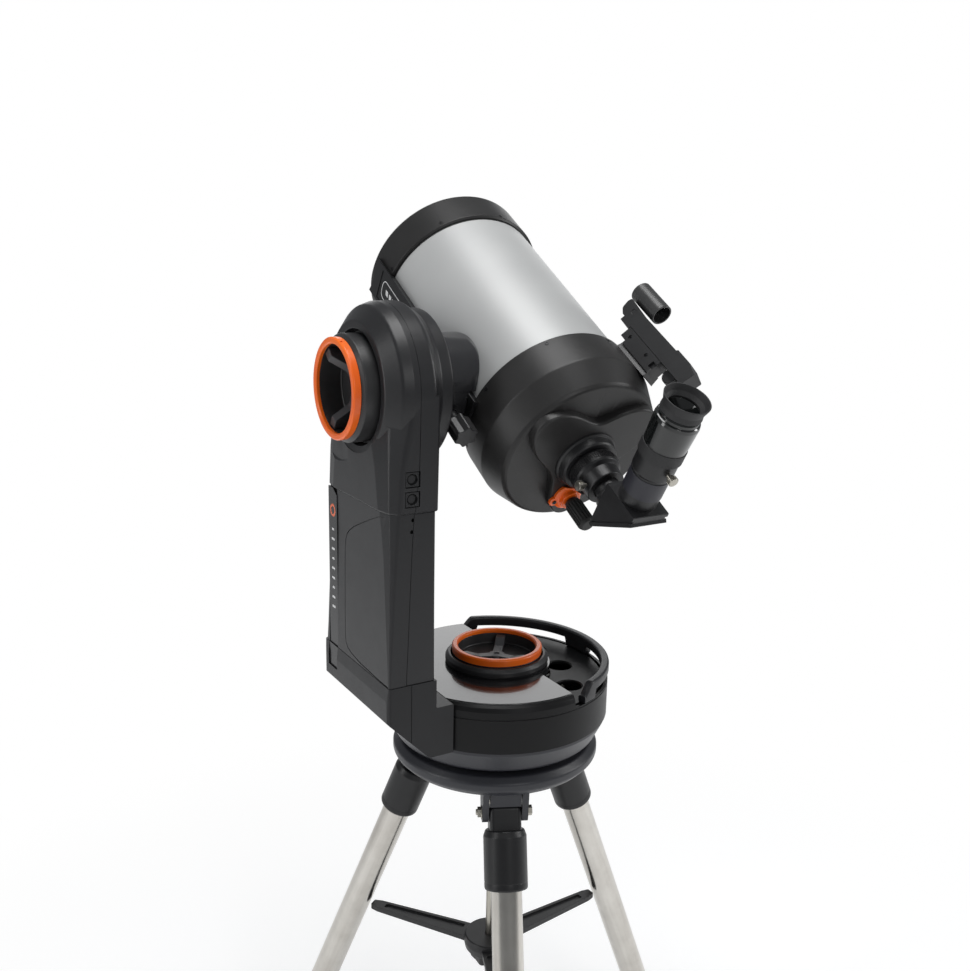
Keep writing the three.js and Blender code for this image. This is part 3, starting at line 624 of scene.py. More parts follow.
# --- Fixed base -----------------------------------------------------------------------------
# A cast dish with a wide chamfered skirt, in the same blue-grey powder coat, bolted on the
# tripod plate. The steel spindle, the bronze wheel and its worm stand in it under the cover.
skirt = lathe("base_skirt", [(0, -3.2), (118, -3.2, 1), (120, 5, 1), (133.5, 5, 3), (137, 9, 3),
                             (148.5, 32, 2.5), (148.5, 36, 0.6), (143.5, 36), (131, 9), (30, 6),
                             (30, 12), (15, 16), (15, 90, 1), (0, 90)], STAND, 160)
fit(skirt, powder_coat, "tripod", "cast_aluminium", "base_skirt")

bronze_wheel = Finish("gear_bronze", metallic=1.0)
bronze_wear = bronze_wheel.noise(70, 4)
bronze_wheel.feed(base_color=bronze_wheel.tones(bronze_wear, (0.36, 0.22, 0.09), (0.56, 0.37, 0.16)),
                  roughness=bronze_wear * 0.25 + 0.22)
bronze_wheel.bump(bronze_wheel.noise(1500, 2), 0.00002)
turned_steel = moulded("turned_steel", (0.50, 0.49, 0.47), 0.28, 2200, 0.00001, metallic=1.0)
for part, finish in (("worm_wheel", bronze_wheel.material), ("worm", turned_steel), ("motor", brace_black)):
    for drive in ("azimuth", "altitude"):
        frame["nodes"][f"{drive}_{part}"].data.materials.clear()
        frame["nodes"][f"{drive}_{part}"].data.materials.append(finish)
frame["nodes"]["altitude_shaft"].data.materials.clear()
frame["nodes"]["altitude_shaft"].data.materials.append(turned_steel)

# --- Rotating base --------------------------------------------------------------------------
# A near-black moulded drum with one fine groove under its rim. The foot of the arm fills a
# notch in it, and the half away from the arm is lower, for the eyepiece tray.
DRUM_R = 150.5
DECK_Z = 100.6
TRAY_Z = 84
TRAY_X = 27
SHOE_X = -120
dark_casing = moulded("drum_black", (0.0055, 0.0055, 0.006), 0.40, 1000, 0.00005,
                      specular_ior_level=0.22)


def shoe_room():
    return block("shoe", -220, SHOE_X + 0.3, -97.3, 97.3, 0, 120, STAND)


shell = lathe("base_shell", [(146.5, 36.3), (DRUM_R, 36.3, 0.8), (DRUM_R, 80.6, 0.3),
                             (DRUM_R - 0.9, 81.3), (DRUM_R - 0.9, 82.1), (DRUM_R, 82.8, 0.3),
                             (DRUM_R, 91.5, 1.5), (148.6, 96.6, 2), (144.5, 99.8, 1.2), (143, 99.8),
                             (143, 91.5), (117, 91.5), (117, 87.5), (146.5, 87.5)], STAND, 180)
cut(shell, shoe_room(),
    prism("tray_room", [(TRAY_X, TRAY_Z + 4, 3), (TRAY_X + 4, TRAY_Z, 3), (170, TRAY_Z),
                        (170, 120), (TRAY_X, 120)], -170, 170, STAND @ PUSH_Y))
fit(shell, dark_casing, "fork", "dark_casing", "base_shell", edge=0.6)

# --- Deck -----------------------------------------------------------------------------------
# A piano-black plate on the half next to the arm, with a raised satin collar round the clutch.
gloss_deck = Finish("piano_black", coat_weight=0.6, coat_roughness=0.04)
deck_smear = gloss_deck.noise(22, 5, roughness=0.6)
gloss_deck.feed(base_color=gloss_deck.tones(deck_smear, (0.007, 0.007, 0.008), (0.012, 0.012, 0.013)),
                roughness=deck_smear * 0.14 + 0.10)
gloss_deck.bump(gloss_deck.noise(900, 2), 0.000006)
deck = lathe("deck_plate", [(0, 91.8), (142.7, 91.8), (142.7, DECK_Z, 1.2), (0, DECK_Z)], STAND, 180)
cut(deck, shoe_room(), cut(block("tray_side", TRAY_X, 170, -170, 170, 80, 120, STAND),
                           rod("round", 72, 70, 130, STAND, 96)), rod("stem", 68, 70, 130, STAND, 96))
fit(deck, gloss_deck.material, "fork", "gloss_deck", "deck_plate", edge=0.7)
knob_black = moulded("knob_black", (0.021, 0.021, 0.022), 0.40, 1300, 0.00004)
collar = lathe("clutch_collar", [(9, 92), (60, 92), (68, DECK_Z - 0.2), (69.4, DECK_Z + 3, 2),
                                 (69.4, 109, 3), (65.5, 113.4, 2.5), (62.2, 113.4, 0.8), (61.8, 98.4),
                                 (9, 98.4)], STAND, 120)
fit(collar, knob_black, "fork", "gloss_deck")

# --- Eyepiece tray --------------------------------------------------------------------------
# A sunk moulded floor with four holes for 1.25-inch eyepieces, each with a chamfered rim.
HOLE_R = 16.5
tray = lathe("eyepiece_tray", [(73, TRAY_Z - 5), (142.7, TRAY_Z - 5), (142.7, TRAY_Z, 1),
                               (73, TRAY_Z, 1)], STAND, 144)
holes = [lathe("hole", [(0, 60), (HOLE_R, 60), (HOLE_R, TRAY_Z - 1.6), (HOLE_R + 2, TRAY_Z + 0.4),
                        (HOLE_R + 2, 120), (0, 120)], STAND @ shift(x, y), 48)
         for x, y in ((87, -24), (61, -86), (87, 40), (61, 98))]
cut(tray, block("deck_side", -170, TRAY_X + 0.3, -170, 170, 60, 120, STAND), *holes)
fit(tray, dark_casing, "fork", "dark_casing", "eyepiece_tray", edge=0.5)

# --- Carrying handle ------------------------------------------------------------------------
# A moulded bow that follows the rim of the base, on a wide foot at each end and one between.
# Its ends slope down to the deck.
HANDLE_IN, HANDLE_OUT = 140.6, 151.5
HANDLE_TOP, HANDLE_UNDER, HANDLE_FOOT = 109, 95.8, 84.3
HANDLE_FROM, HANDLE_TO, HANDLE_STEPS = -73, 80, 306
MID_FROM, MID_TO = -4.5, 13


def ease(x):
    x = min(max(x, 0), 1)
    return x * x * (3 - 2 * x)


def handle_ring(angle):
    """The bow's section at an angle round the base: tall at a foot, low over a window."""
    from_end = min(angle - HANDLE_FROM, HANDLE_TO - angle)
    top = TRAY_Z + 10 + (HANDLE_TOP - TRAY_Z - 10) * ease(from_end / 7)
    foot = max(1 - ease((from_end - 8.5) / 1.6),
               ease((angle - MID_FROM) / 1.6) * (1 - ease((angle - MID_TO) / 1.6)))
    under = HANDLE_UNDER + (HANDLE_FOOT - HANDLE_UNDER) * foot
    section = rounded([(HANDLE_IN, under, 2.2), (HANDLE_OUT, under, 2.2), (HANDLE_OUT, top, 3),
                       (HANDLE_IN, top, 3)], 3)
    return [turn(angle, "Z") @ Vector((radius, 0, height)) for radius, height in section]


handle = skin("carry_handle", [handle_ring(HANDLE_FROM + (HANDLE_TO - HANDLE_FROM) * k / HANDLE_STEPS)
                               for k in range(HANDLE_STEPS + 1)], STAND)
handle_black = moulded("handle_black", (0.013, 0.013, 0.015), 0.40, 900, 0.00007)
fit(handle, handle_black, "fork", "dark_casing", "carry_handle")

# --- Clutch knobs ---------------------------------------------------------------------------
# Deep moulded cups in satin black, turned by three bent spokes that rise from the hub to the
# rim. A satin orange ring is pressed on the open end, with a small hole for a grub screw.
KNOB_R = 60
orange_ring = Finish("orange_anodised", coat_weight=0.1, coat_roughness=0.25)
ring_cloud = orange_ring.noise(14, 4)
ring_speck = orange_ring.noise(1600, 2)
orange_ring.feed(base_color=orange_ring.tones(ring_cloud, (0.86, 0.115, 0.005), (0.98, 0.170, 0.009)),
                 roughness=ring_cloud * 0.14 + ring_speck * 0.06 + 0.20)
orange_ring.bump(ring_speck, 0.00002)
spoke_grey = moulded("spoke_grey", (0.042, 0.042, 0.045), 0.40, 1100, 0.00005)


def clutch(name, depth, sunk, stem, radius, place):
    """A cup, its spokes and its ring; sunk is how far the floor lies below the joint's origin."""
    low, body = 5 - sunk, f"{name}_knob"
    cup = lathe(body, [(0, -sunk), (radius - 2, -sunk), (radius, 2 - sunk, 1.5),
                       (radius, depth - 8, 2.5), (KNOB_R, depth - 4.2, 0.8), (57, depth - 4.2),
                       (57, depth), (53.5, depth, 1), (51.5, low, 2), (0, low)], place, 128)
    cut(cup, lathe("groove", [(49, low - 0.8), (50, low - 0.8), (50, low + 1), (49, low + 1)], place, 96))
    weld(cup, lathe("stem", [(0, -stem), (8, -stem, 0.6), (8, low - 1), (0, low - 1)], place, 32))
    fit(cup, knob_black, body, "black_plastic", f"{name}_clutch_knob")
    spokes = lathe(f"{name}_spokes", [(0, low + 0.1), (13, low + 0.1), (11, low + 5, 1.5),
                                      (4, low + 5.6, 0.5), (3.4, low + 4.2, 0.3), (0, low + 4)], place, 48)
    for n in range(3):
        bar = prism("bar", [(3, low + 0.2), (52.2, low + 0.2), (52.2, depth - 1.2, 1),
                            (41, depth - 1.8, 3), (25, low + 6.5, 6), (3, low + 4.6)], -6.4, 6.4,
                    place @ turn(120 * n, "Z") @ PUSH_Y)
        weld(spokes, soften(bar, 1.3))
    fit(spokes, spoke_grey, body, "black_plastic")
    ring = lathe(f"{name}_ring", [(52.6, depth + 0.3, 0.4), (57.3, depth + 0.3), (57.3, depth - 4),
                                  (KNOB_R + 0.4, depth - 4, 0.8), (KNOB_R + 0.8, depth + 4.2, 1.6),
                                  (59, depth + 5.9, 1.4), (54.4, depth + 5.9, 1.4),
                                  (52.6, depth + 4.2, 0.8)], place, 144)
    grub_hole = rod("grub_hole", 1.5, 57, 62,
                    place @ turn(-58, "Z") @ shift(0, 0, depth + 2.7) @ turn(90, "Y"), 16)
    fit(cut(ring, grub_hole), orange_ring.material, body, "orange_plastic", f"{name}_clutch_ring")


clutch("azimuth", 10, 9, 17.5, KNOB_R, STAND @ shift(0, 0, 108.3) @ turn(52, "Z"))
clutch("altitude", 24.5, 8.4, 9, 64.6, STAND @ shift(-203.3, 0, ALTITUDE_Z) @ turn(-90, "Y") @ turn(38, "Z"))

# --- Fork arm, foot and spine ---------------------------------------------------------------
# One aluminium casting carries the head: a foot that wraps the base, a floor under the deck and
# a spine inside the casings. The foot is a little darker than the casings above it.
FOOT_Z = 137
ARM_IN = -144
arm_charcoal = moulded("arm_charcoal", (0.0155, 0.0155, 0.017), 0.36, 900, 0.00006, vary=0.08,
                       specular_ior_level=0.4)
foot_black = moulded("foot_black", (0.0085, 0.0085, 0.010), 0.36, 900, 0.00006,
                     specular_ior_level=0.35)
ACROSS = STAND @ shift(0, 0, ALTITUDE_Z) @ turn(90, "Y")  # turned about the altitude axis, along X
foot = prism("arm_foot", [(-209, 92, 3), (-153, 36.3, 6), (SHOE_X, 36.3), (SHOE_X, DECK_Z, 1),
                          (ARM_IN, DECK_Z, 2), (ARM_IN, FOOT_Z), (-207.4, FOOT_Z), (-209, 120, 10)],
             -97, 97, STAND @ PUSH_Y)
plan = prism("plan", [(-100, -97), (-206.2, -97, 3), (-209, -92, 6), (-209, 92, 6), (-206, 97, 3),
                      (-100, 97)], 0, 200, STAND)
combine(foot, [plan], "INTERSECT")
cut(foot, block("stripe", -214, -206.8, 56, 83, 106, 150, STAND),
    block("seam_line", -178.5, -177.5, -98, -96.2, 30, 140, STAND))
fit(foot, foot_black, "fork", "cast_aluminium", "arm_casting", edge=1.0)
spine = block("arm_spine", -160, -150, -62, 62, FOOT_Z - 1, ALTITUDE_Z + 20, STAND)
weld(spine, lathe("boss", [(0, -168), (34, -168, 1.5), (34, -142, 1.5), (0, -142)], ACROSS, 64),
     block("web", -126, -94, -40, 40, 28, 70, STAND),
     lathe("floor", [(22, 24), (127, 24, 2), (127, 33, 2), (22, 33)], STAND, 96))
cut(spine, rod("bore", 14.3, -180, -130, ACROSS, 48))
fit(spine, powder_coat, "fork", "cast_aluminium", edge=1.0)

# --- Fork arm, casings ----------------------------------------------------------------------
# Charcoal mouldings in an outer and an inner half, which meet in a seam that bows outwards on
# its way down. Head and lower arm meet at a lip, and the lower front panel is set off by a
# curved line.
HEAD_R = 101
BEND_Z = 348
SEAM_GAP = 0.25
PANEL_SCREWS = ((-176.2, 341, 2.2), (-177.4, 327, 2.4))
PORT_X, PORT_Y, PORT_ZS = -177.7, -96.2, (389.6, 366.1)
SEAM = [(-186, 80), (-185, 120), (-184, 150), (-181.5, 200), (-179, 260), (-176.8, 308),
        (-174.4, 348), (-171, 380), (-169.3, 405), (-169, 440), (-169, 700)]


def arm_outline(outer, inner, front, back, slant, soft):
    """A level section through the arm, with both outer corners slanted off."""
    return rounded([(inner, -front, 3), (outer + slant, -front, soft),
                    (outer + slant * 0.28, -front + slant * 0.85, soft),
                    (outer, -front + slant * 2.4, soft * 2.5), (outer, back - slant * 2.4, soft * 2.5),
                    (outer + slant * 0.28, back - slant * 0.85, soft), (outer + slant, back, soft),
                    (inner, back, 3)])


def seam_side(outer):
    """The room on one side of the seam."""
    gap, far = (-SEAM_GAP, -320) if outer else (SEAM_GAP, 20)
    line = [(x + gap, z) for x, z in SEAM]
    return prism("side", [(far, line[0][1]), *line, (far, line[-1][1])], -220, 220, STAND @ PUSH_Y)


def copy_of(piece, name):
    twin = piece.copy()
    twin.data = piece.data.copy()
    twin.name = name
    bpy.context.scene.collection.objects.link(twin)
    return twin


def ribbon(name, path, width, low, high, place):
    """A narrow strip along a path, for cutting a groove."""
    left, right_side = [], []
    for i, (x, y) in enumerate(path):
        ahead = Vector(path[min(i + 1, len(path) - 1)]) - Vector(path[max(i - 1, 0)])
        side = Vector((-ahead.y, ahead.x)).normalized() * width / 2
        left.append((x + side.x, y + side.y))
        right_side.append((x - side.x, y - side.y))
    return prism(name, left + right_side[::-1], low, high, place)


lower = loft("lower", [(FOOT_Z + 0.3, arm_outline(-207, -146, 96, 93, 1.6, 1.2)),
                       (160, arm_outline(-206.6, -146, 95.5, 91.5, 2.2, 1.8)),
                       (240, arm_outline(-205.6, -146, 95, 90, 5.4, 4)),
                       (292, arm_outline(-205, -146, 95, 90, 7.6, 5)),
                       (322, arm_outline(-205, -146, 95, 92.5, 9.6, 6)),
                       (BEND_Z, arm_outline(-205.4, -146, 95, 95, 11.5, 6))], STAND)
lower_in = copy_of(lower, "arm_lower_inner")
lower.name = "arm_lower_outer"
combine(lower, [seam_side(outer=True)], "INTERSECT")
combine(lower_in, [seam_side(outer=False)], "INTERSECT")
panel_line = [(-93, 347), (-80, 345), (-66, 341.5), (-48, 335), (-30, 327.5), (-10, 319), (8, 311),
              (20, 304), (28, 297), (32, 289), (33.5, 278), (34, 262), (33.6, 190), (33.2, 164),
              (31, 154), (25, 148), (14, 144.5), (-10, 141), (-60, 138.5), (-92, 138)]
cut(lower, ribbon("line", panel_line, 1.3, -212, -203.6, STAND @ PUSH_X),
    block("stripe", -214, -203.2, 56, 83, 100, 352, STAND),
    *[rod("screw_hole", radius, -110, -91, STAND @ shift(x, 0, z) @ turn(270, "X"), 24)
      for x, z, radius in PANEL_SCREWS])
fit(lower, arm_charcoal, "fork", "arm_casing", "arm_lower_outer", edge=0.7)
fit(lower_in, arm_charcoal, "fork", "arm_casing", "arm_lower_inner", edge=0.7)

neck = loft("neck", [(BEND_Z + 0.3, arm_outline(-205.6, -150, 95.4, 95.4, 12, 7)),
                     (BEND_Z + 2.2, arm_outline(-207, -150, 97, 97, 13, 7)),
                     (400, arm_outline(-207, -150, 98.2, 98.2, 17, 9)),
                     (430, arm_outline(-206.6, -150, 99, 99, 22, 11)),
                     (458, arm_outline(-205, -150, 99.9, 99.9, 27, 12)),
                     (ALTITUDE_Z, arm_outline(-202, -150, 100.7, 100.7, 31, 12))], STAND)
dome = lathe("dome", [(0, -204.4), (79, -204.4, 5), (97, -189.5, 9), (HEAD_R, -177, 6),
                      (HEAD_R, -150), (0, -150)], ACROSS, 180)


def port_rooms():
    return [block("port", PORT_X - 9.5, PORT_X + 9.5, -105, -94.6, z - 9.6, z + 9.6, STAND)
            for z in PORT_ZS]


head = weld(neck, dome)
head.name = "arm_head_outer"
dish = lathe("dish", [(0, -194), (67.2, -194, 1.5), (69.4, -204, 0.8), (77.6, -206), (77.6, -215),
                      (0, -215)], ACROSS, 128)
dish_foot = lathe("dish_foot", [(0, 0.6), (82, 0.6, 2), (86, 3.4, 1.5), (90, 20), (0, 20)],
                  STAND @ shift(-205, 47, 471) @ turn(-90, "Y") @ turn(-2.6, "X"), 128)
cut(head, dish, dish_foot)
combine(head, [seam_side(outer=True)], "INTERSECT")
cut(head, *port_rooms())
fit(head, arm_charcoal, "fork", "arm_casing", "arm_head_outer", edge=0.8)

inner_neck = loft("inner_neck", [(z, rounded([(-200, -half), (-143, -half, 4), (-143, half, 4),
                                              (-200, half)]))
                                 for z, half in ((BEND_Z + 0.3, 95.4), (BEND_Z + 2.2, 97),
                                                 (ALTITUDE_Z, 100.9))], STAND)
inner_dome = lathe("inner_dome", [(0, -200), (HEAD_R, -200), (HEAD_R, -150, 8), (95, -143, 8),
                                  (92, -137, 6), (91.5, -121, 3), (0, -121)], ACROSS, 180)
head_in = weld(inner_neck, inner_dome)
head_in.name = "arm_head_inner"
combine(head_in, [seam_side(outer=False)], "INTERSECT")
cut(head_in, *port_rooms(), rod("bore", 16, -215, -115, ACROSS, 48))
fit(head_in, arm_charcoal, "fork", "arm_casing", "arm_head_inner", edge=0.8)

port_black = moulded("port_black", (0.0025, 0.0025, 0.003), 0.55, 1400, 0.00004,
                     specular_ior_level=0.2)
for n, z in enumerate(PORT_ZS, 1):
    plate_here = STAND @ shift(PORT_X, PORT_Y, z) @ turn(90, "X")
    insert = prism(f"arm_port_{n}", [(-8.6, -8.6, 1), (8.6, -8.6, 1), (8.6, 8.6, 1), (-8.6, 8.6, 1)],
                   -5, 0.5, plate_here)
    cut(insert, lathe("hole", [(0, -3.5), (6.2, -3.5), (6.2, -1), (7.2, 0.9), (7.2, 3), (0, 3)],
                      plate_here, 48))
    fit(insert, arm_charcoal, "fork", "arm_casing", edge=0.4)
    plug = lathe(f"arm_port_socket_{n}", [(0, -3.4), (6.1, -3.4), (6.1, -0.6, 0.4), (5, -0.6, 0.3),
                                          (4.8, -2.9), (0, -2.9)], plate_here, 48)
    fit(plug, port_black, "fork", "black_plastic")

# --- Stripe on the arm ----------------------------------------------------------------------
# A dark inlay runs down the back half of the outer face and onto the foot. It has an orange
# ring near its head and a row of plain pale bars, with no words.
BAR_STEP = 13
stripe = prism("arm_stripe", [(56.4, 138), (82.6, 137.6), (82.6, 349, 1.5), (76, 352.4, 2), (56.4, 340)],
               -206.2, -203.9, STAND @ PUSH_X)
cut(stripe, block("below_lip", -214, -200, 50, 90, BEND_Z - 0.2, 360, STAND))
stripe_black = moulded("stripe_black", (0.006, 0.006, 0.007), 0.24, 1500, 0.00003)
fit(stripe, stripe_black, "fork", "dark_casing", edge=0.4)
stripe_end = prism("arm_stripe_end", [(56.4, 107), (82.6, 106.4), (82.6, 136.6), (56.4, 136.6)],
                   -207.3, -206, STAND @ PUSH_X)
fit(stripe_end, stripe_black, "fork", "dark_casing", edge=0.3)
mark_orange = moulded("mark_orange", (0.75, 0.16, 0.07), 0.4, 1500, 0.00001)
mark_white = moulded("mark_white", (0.72, 0.72, 0.72), 0.45, 1500, 0.00001, vary=0.05)
emblem = lathe("arm_mark_ring", [(5.2, 206.1), (8.2, 206.1), (8.2, 206.35), (5.2, 206.35)],
               STAND @ shift(0, 69, 318) @ turn(-90, "Y"), 48)
fit(emblem, mark_orange, "fork", "orange_plastic")


def printed(name, marks, finish, body, slot):
    """Separate flat marks as one piece."""
    weld(*marks)
    marks[0].name = name
    fit(marks[0], finish, body, slot)


bars = []
for n in range(9):
    z, half = 296 - BAR_STEP * n, 4.6 if n % 3 else 3.2
    bars.append(prism("bar", [(69 - half, z - 4.4, 0.8), (69 + half, z - 4.4, 0.8),
                              (69 + half, z - 1.6, 0.8), (69 - half, z - 1.6, 0.8)],
                      -206.35, -206.1, STAND @ PUSH_X))
printed("arm_mark_bars", bars, mark_white, "fork", "dark_casing")

# --- Hub, clamp and dovetail bar ------------------------------------------------------------
# A gloss-black cast hub turns with the tube and grips the dovetail bar. Its far end is well
# rounded, and a star knob under it clamps the bar.
BAR_X = -119.5
clamp_low, clamp_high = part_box("hub_clamp_knob")
CLAMP = TUBE @ shift((clamp_low.x + clamp_high.x) * 500 - TUBE.translation.x * 1000)
TUBE_R, CELL_R = 111.5, 116
HUB_FROM = -154.7
gloss_hub = moulded("gloss_hub", (0.017, 0.017, 0.019), 0.22, 1200, 0.00002, rough_vary=0.10,
                    coat_weight=0.5, coat_roughness=0.12)
hub = lathe("altitude_hub", [(0, HUB_FROM), (58, HUB_FROM, 1), (61, HUB_FROM + 3, 2),
                             (61, HUB_FROM + 70, 18), (0, HUB_FROM + 70)], TUBE @ turn(90, "Y"), 144)
cut(hub, prism("slot", [(BAR_X - 0.3, -28), (-90, -18), (-80, -18), (-80, 18), (-90, 18),
                        (BAR_X - 0.3, 28)], -90, 90, TUBE),
    rod("clear", TUBE_R + 1.5, -90, 90, TUBE, 180),
    block("channel", BAR_X + 3, -70, -28, 28, -90, 90, TUBE),
    rod("screw_hole", 6.4, -70, -20, CLAMP),
    rod("bore", 14.3, -160, -154.9, TUBE @ turn(90, "Y"), 48))
fit(hub, gloss_hub, "saddle", "gloss_hub", "altitude_hub", edge=0.8)
clamp = soften(prism("hub_clamp_knob", star(12, 11.8, 16.4, 1.8, 2.6), -104, -76, CLAMP), 1.4)
weld(clamp, lathe("stem", [(0, -77), (10, -77), (9, -72, 1), (6, -72), (6, -34), (0, -34)], CLAMP, 32))
fit(clamp, knob_black, "hub_clamp", "black_plastic", "hub_clamp_knob")

# The extruded bar is anodised black, flared like a dovetail, and scooped at its sky end. A pale
# outline with plain marks is printed on its face.
anodised = moulded("black_anodised", (0.013, 0.013, 0.014), 0.34, 2000, 0.00003, metallic=0.35)
bar = prism("dovetail_bar", [(BAR_X, -27, 0.8), (-114.5, -24.2, 1), (-104, -20), (-104, 20),
                             (-114.5, 24.2, 1), (BAR_X, 27, 0.8)], -72, 240, TUBE)
cut(bar, rod("tube_room", TUBE_R + 0.3, -90, 260, TUBE, 180),
    rod("rear_room", CELL_R + 0.3, -90, -62, TUBE, 180),
    rod("front_room", CELL_R + 0.3, 196.7, 260, TUBE, 180),
    rod("scoop", 75, -140, -90, TUBE @ shift(0, 0, 308) @ turn(90, "Y"), 180),
    block("face", BAR_X - 2, BAR_X + 0.8, -21, 21, -60, 214, TUBE))
fit(bar, anodised, "tube", "black_aluminium", "dovetail_bar", edge=0.6)
LABEL = TUBE @ shift(BAR_X + 0.82) @ turn(-90, "Y")
outline = prism("bar_outline", [(92, -13, 9), (206, -13, 9), (206, 13, 9), (92, 13, 9)], 0, 0.22, LABEL)
cut(outline, prism("inside", [(93.2, -11.8, 8), (204.8, -11.8, 8), (204.8, 11.8, 8), (93.2, 11.8, 8)],
                   -1, 1, LABEL))
fit(outline, mark_white, "tube", "black_aluminium")
marks = [prism("mark", [(z, -3.4, 0.6), (z + 7, -3.4, 0.6), (z + 4.6, 3.4, 0.6), (z - 2.4, 3.4, 0.6)],
               0, 0.2, LABEL) for z in range(132, 188, 11)]
marks.append(lathe("mark_ring", [(5.6, 0), (8, 0), (8, 0.2), (5.6, 0.2)], LABEL @ shift(110), 48))
printed("bar_marks", marks, mark_white, "tube", "black_aluminium")

# --- Optical tube and cells -----------------------------------------------------------------
# A rolled aluminium tube in satin silver lacquer, held in two dark graphite castings by flush
# screws. A painted shadow line, a thin near-black ring, stands for the shade where tube and cells meet.
silver = Finish("silver_lacquer", metallic=0.25)
lacquer_cloud = silver.noise(7, 4)
flake = silver.noise(2600, 2)
silver.feed(base_color=silver.tones(lacquer_cloud * 0.7 + flake * 0.3, (0.44, 0.445, 0.445),
                                    (0.50, 0.505, 0.50)),
            roughness=flake * 0.08 + lacquer_cloud * 0.08 + 0.38)
silver.bump(flake, 0.000012)
graphite = moulded("graphite_paint", (0.020, 0.0195, 0.0195), 0.40, 1100, 0.00005,
                   specular_ior_level=0.35)
screw_black = moulded("screw_black", (0.014, 0.014, 0.015), 0.35, 2000, 0.00002, metallic=0.6)
tube = lathe("optical_tube", [(109.8, -75), (TUBE_R, -75), (TUBE_R, 210), (109.8, 210)], TUBE, 192)
fit(tube, silver.material, "tube", "silver_tube", "optical_tube")
front = lathe("front_cell", [(111.7, 197, 0.3), (113.4, 197, 0.5), (CELL_R, 199, 1.5), (CELL_R, 247, 3),
                             (113.4, 251.2, 1.6), (108.6, 251.2, 1), (108, 232), (101.6, 232, 0.6),
                             (101.6, 227, 0.6), (106, 216), (106, 212), (111.7, 212)], TUBE, 192)
fit(front, graphite, "tube", "graphite_cell", "front_cell")
# Painted shade: near-black rings laid on the seams between tube and cells, in place of their shadow.
painted_gap_shadow = moulded("painted_gap_shadow", (0.004, 0.004, 0.004), 0.7, 1500, 0.00002)
for name, z in (("front_joint", 195.9), ("rear_joint", -61.6)):
    shadow_ring = lathe(name, [(TUBE_R - 0.1, z - 0.5), (TUBE_R + 0.6, z - 0.5, 0.2),
                              (TUBE_R + 0.6, z + 0.7, 0.2), (TUBE_R - 0.1, z + 0.7)], TUBE, 192)
    fit(shadow_ring, painted_gap_shadow, "tube", "black_plastic")
for name, z, start in (("front_cell_screws", 204, 15), ("rear_cell_screws", -70, 22)):
    screw = socket_head(2.7, 0.8, 0.5)
    screw.data.transform(shift(0, 0, z / 1000) @ turn(90, "Y"))
    round_the_axis(name, screw, 8, CELL_R - 0.35, TUBE, screw_black, "tube", start)

# --- Front optics ---------------------------------------------------------------------------
# A thin coated glass plate under a black ring of small screws carries the secondary cell, whose
# three collimation screws sit in its face.
satin_black = moulded("optics_black", (0.009, 0.009, 0.010), 0.42, 1300, 0.00004)
plate_glass = Finish("corrector_glass", transmission_weight=1.0, ior=1.46)
glass_haze = plate_glass.noise(12, 4)
plate_glass.feed(base_color=plate_glass.tones(glass_haze, (0.86, 0.94, 0.93), (0.93, 0.97, 0.95)),
                 roughness=glass_haze * 0.02)
fit(lathe("corrector_plate", [(32.5, 232.3), (107.6, 232.3), (107.6, 237), (32.5, 237)], TUBE, 144),
    plate_glass.material, "tube", "optical_glass", "corrector_plate")
fit(lathe("corrector_retainer", [(100, 237.3, 0.3), (107.6, 237.3), (107.6, 241, 0.6),
                                 (101, 241, 1.2)], TUBE, 144),
    satin_black, "tube", "black_plastic", "corrector_retainer")
round_the_axis("retainer_screws", socket_head(2.4, 1.6), 8, 104, TUBE @ shift(0, 0, 241), screw_black,
               "tube")
secondary = lathe("secondary_cell", [(0, 224), (32, 224, 0.5), (32, 237.3), (38, 237.3, 0.4), (38, 244, 2),
                                     (34, 247, 1.5), (27, 247, 0.6), (25, 245.4, 0.6), (0, 245.4)],
                  TUBE, 96)
fit(secondary, satin_black, "tube", "black_plastic", "secondary_cell")
round_the_axis("collimation_screws", socket_head(3.6, 2.2), 3, 15, TUBE @ shift(0, 0, 245.3), zinc,
               "tube", 30)
silvering = Finish("mirror_coating", metallic=1.0)
coating_haze = silvering.noise(16, 4)
silvering.feed(base_color=silvering.tones(coating_haze, (0.86, 0.88, 0.90), (0.93, 0.94, 0.95)),
               roughness=coating_haze * 0.03 + 0.01)
fit(lathe("secondary_mirror", [(0, 217.4), (20, 216.7), (30.4, 216, 0.4), (31, 216.6), (31, 223.7),
                               (0, 223.7)], TUBE, 96),
    silvering.material, "tube", "mirror", "secondary_mirror")
fit(lathe("baffle_tube", [(18.5, -172), (21, -172), (21, 20), (19, 110, 0.6), (17.5, 110, 0.4),
                          (18.5, 20)], TUBE, 72), satin_black, "tube", "black_aluminium", "baffle_tube")
FOCUS = TUBE @ shift(-4, 59)
primary = lathe("primary_mirror", [(21.3, -124), (70, -124, 1), (70, -116, 1), (101.5, -116, 0.6),
                                   (101.5, -92, 0.8), (66, -96.1), (34, -98.4), (26, -98.6),
                                   (26, -60, 0.6), (21.3, -60, 0.4)], TUBE, 144)
weld(primary, lathe("nut", [(0, -140), (8, -140, 0.6), (8, -120), (0, -120)], FOCUS, 32))
cut(primary, rod("thread", 3.9, -141, -116.2, FOCUS, 24))
fit(primary, silvering.material, "mirror", "mirror", "primary_mirror")

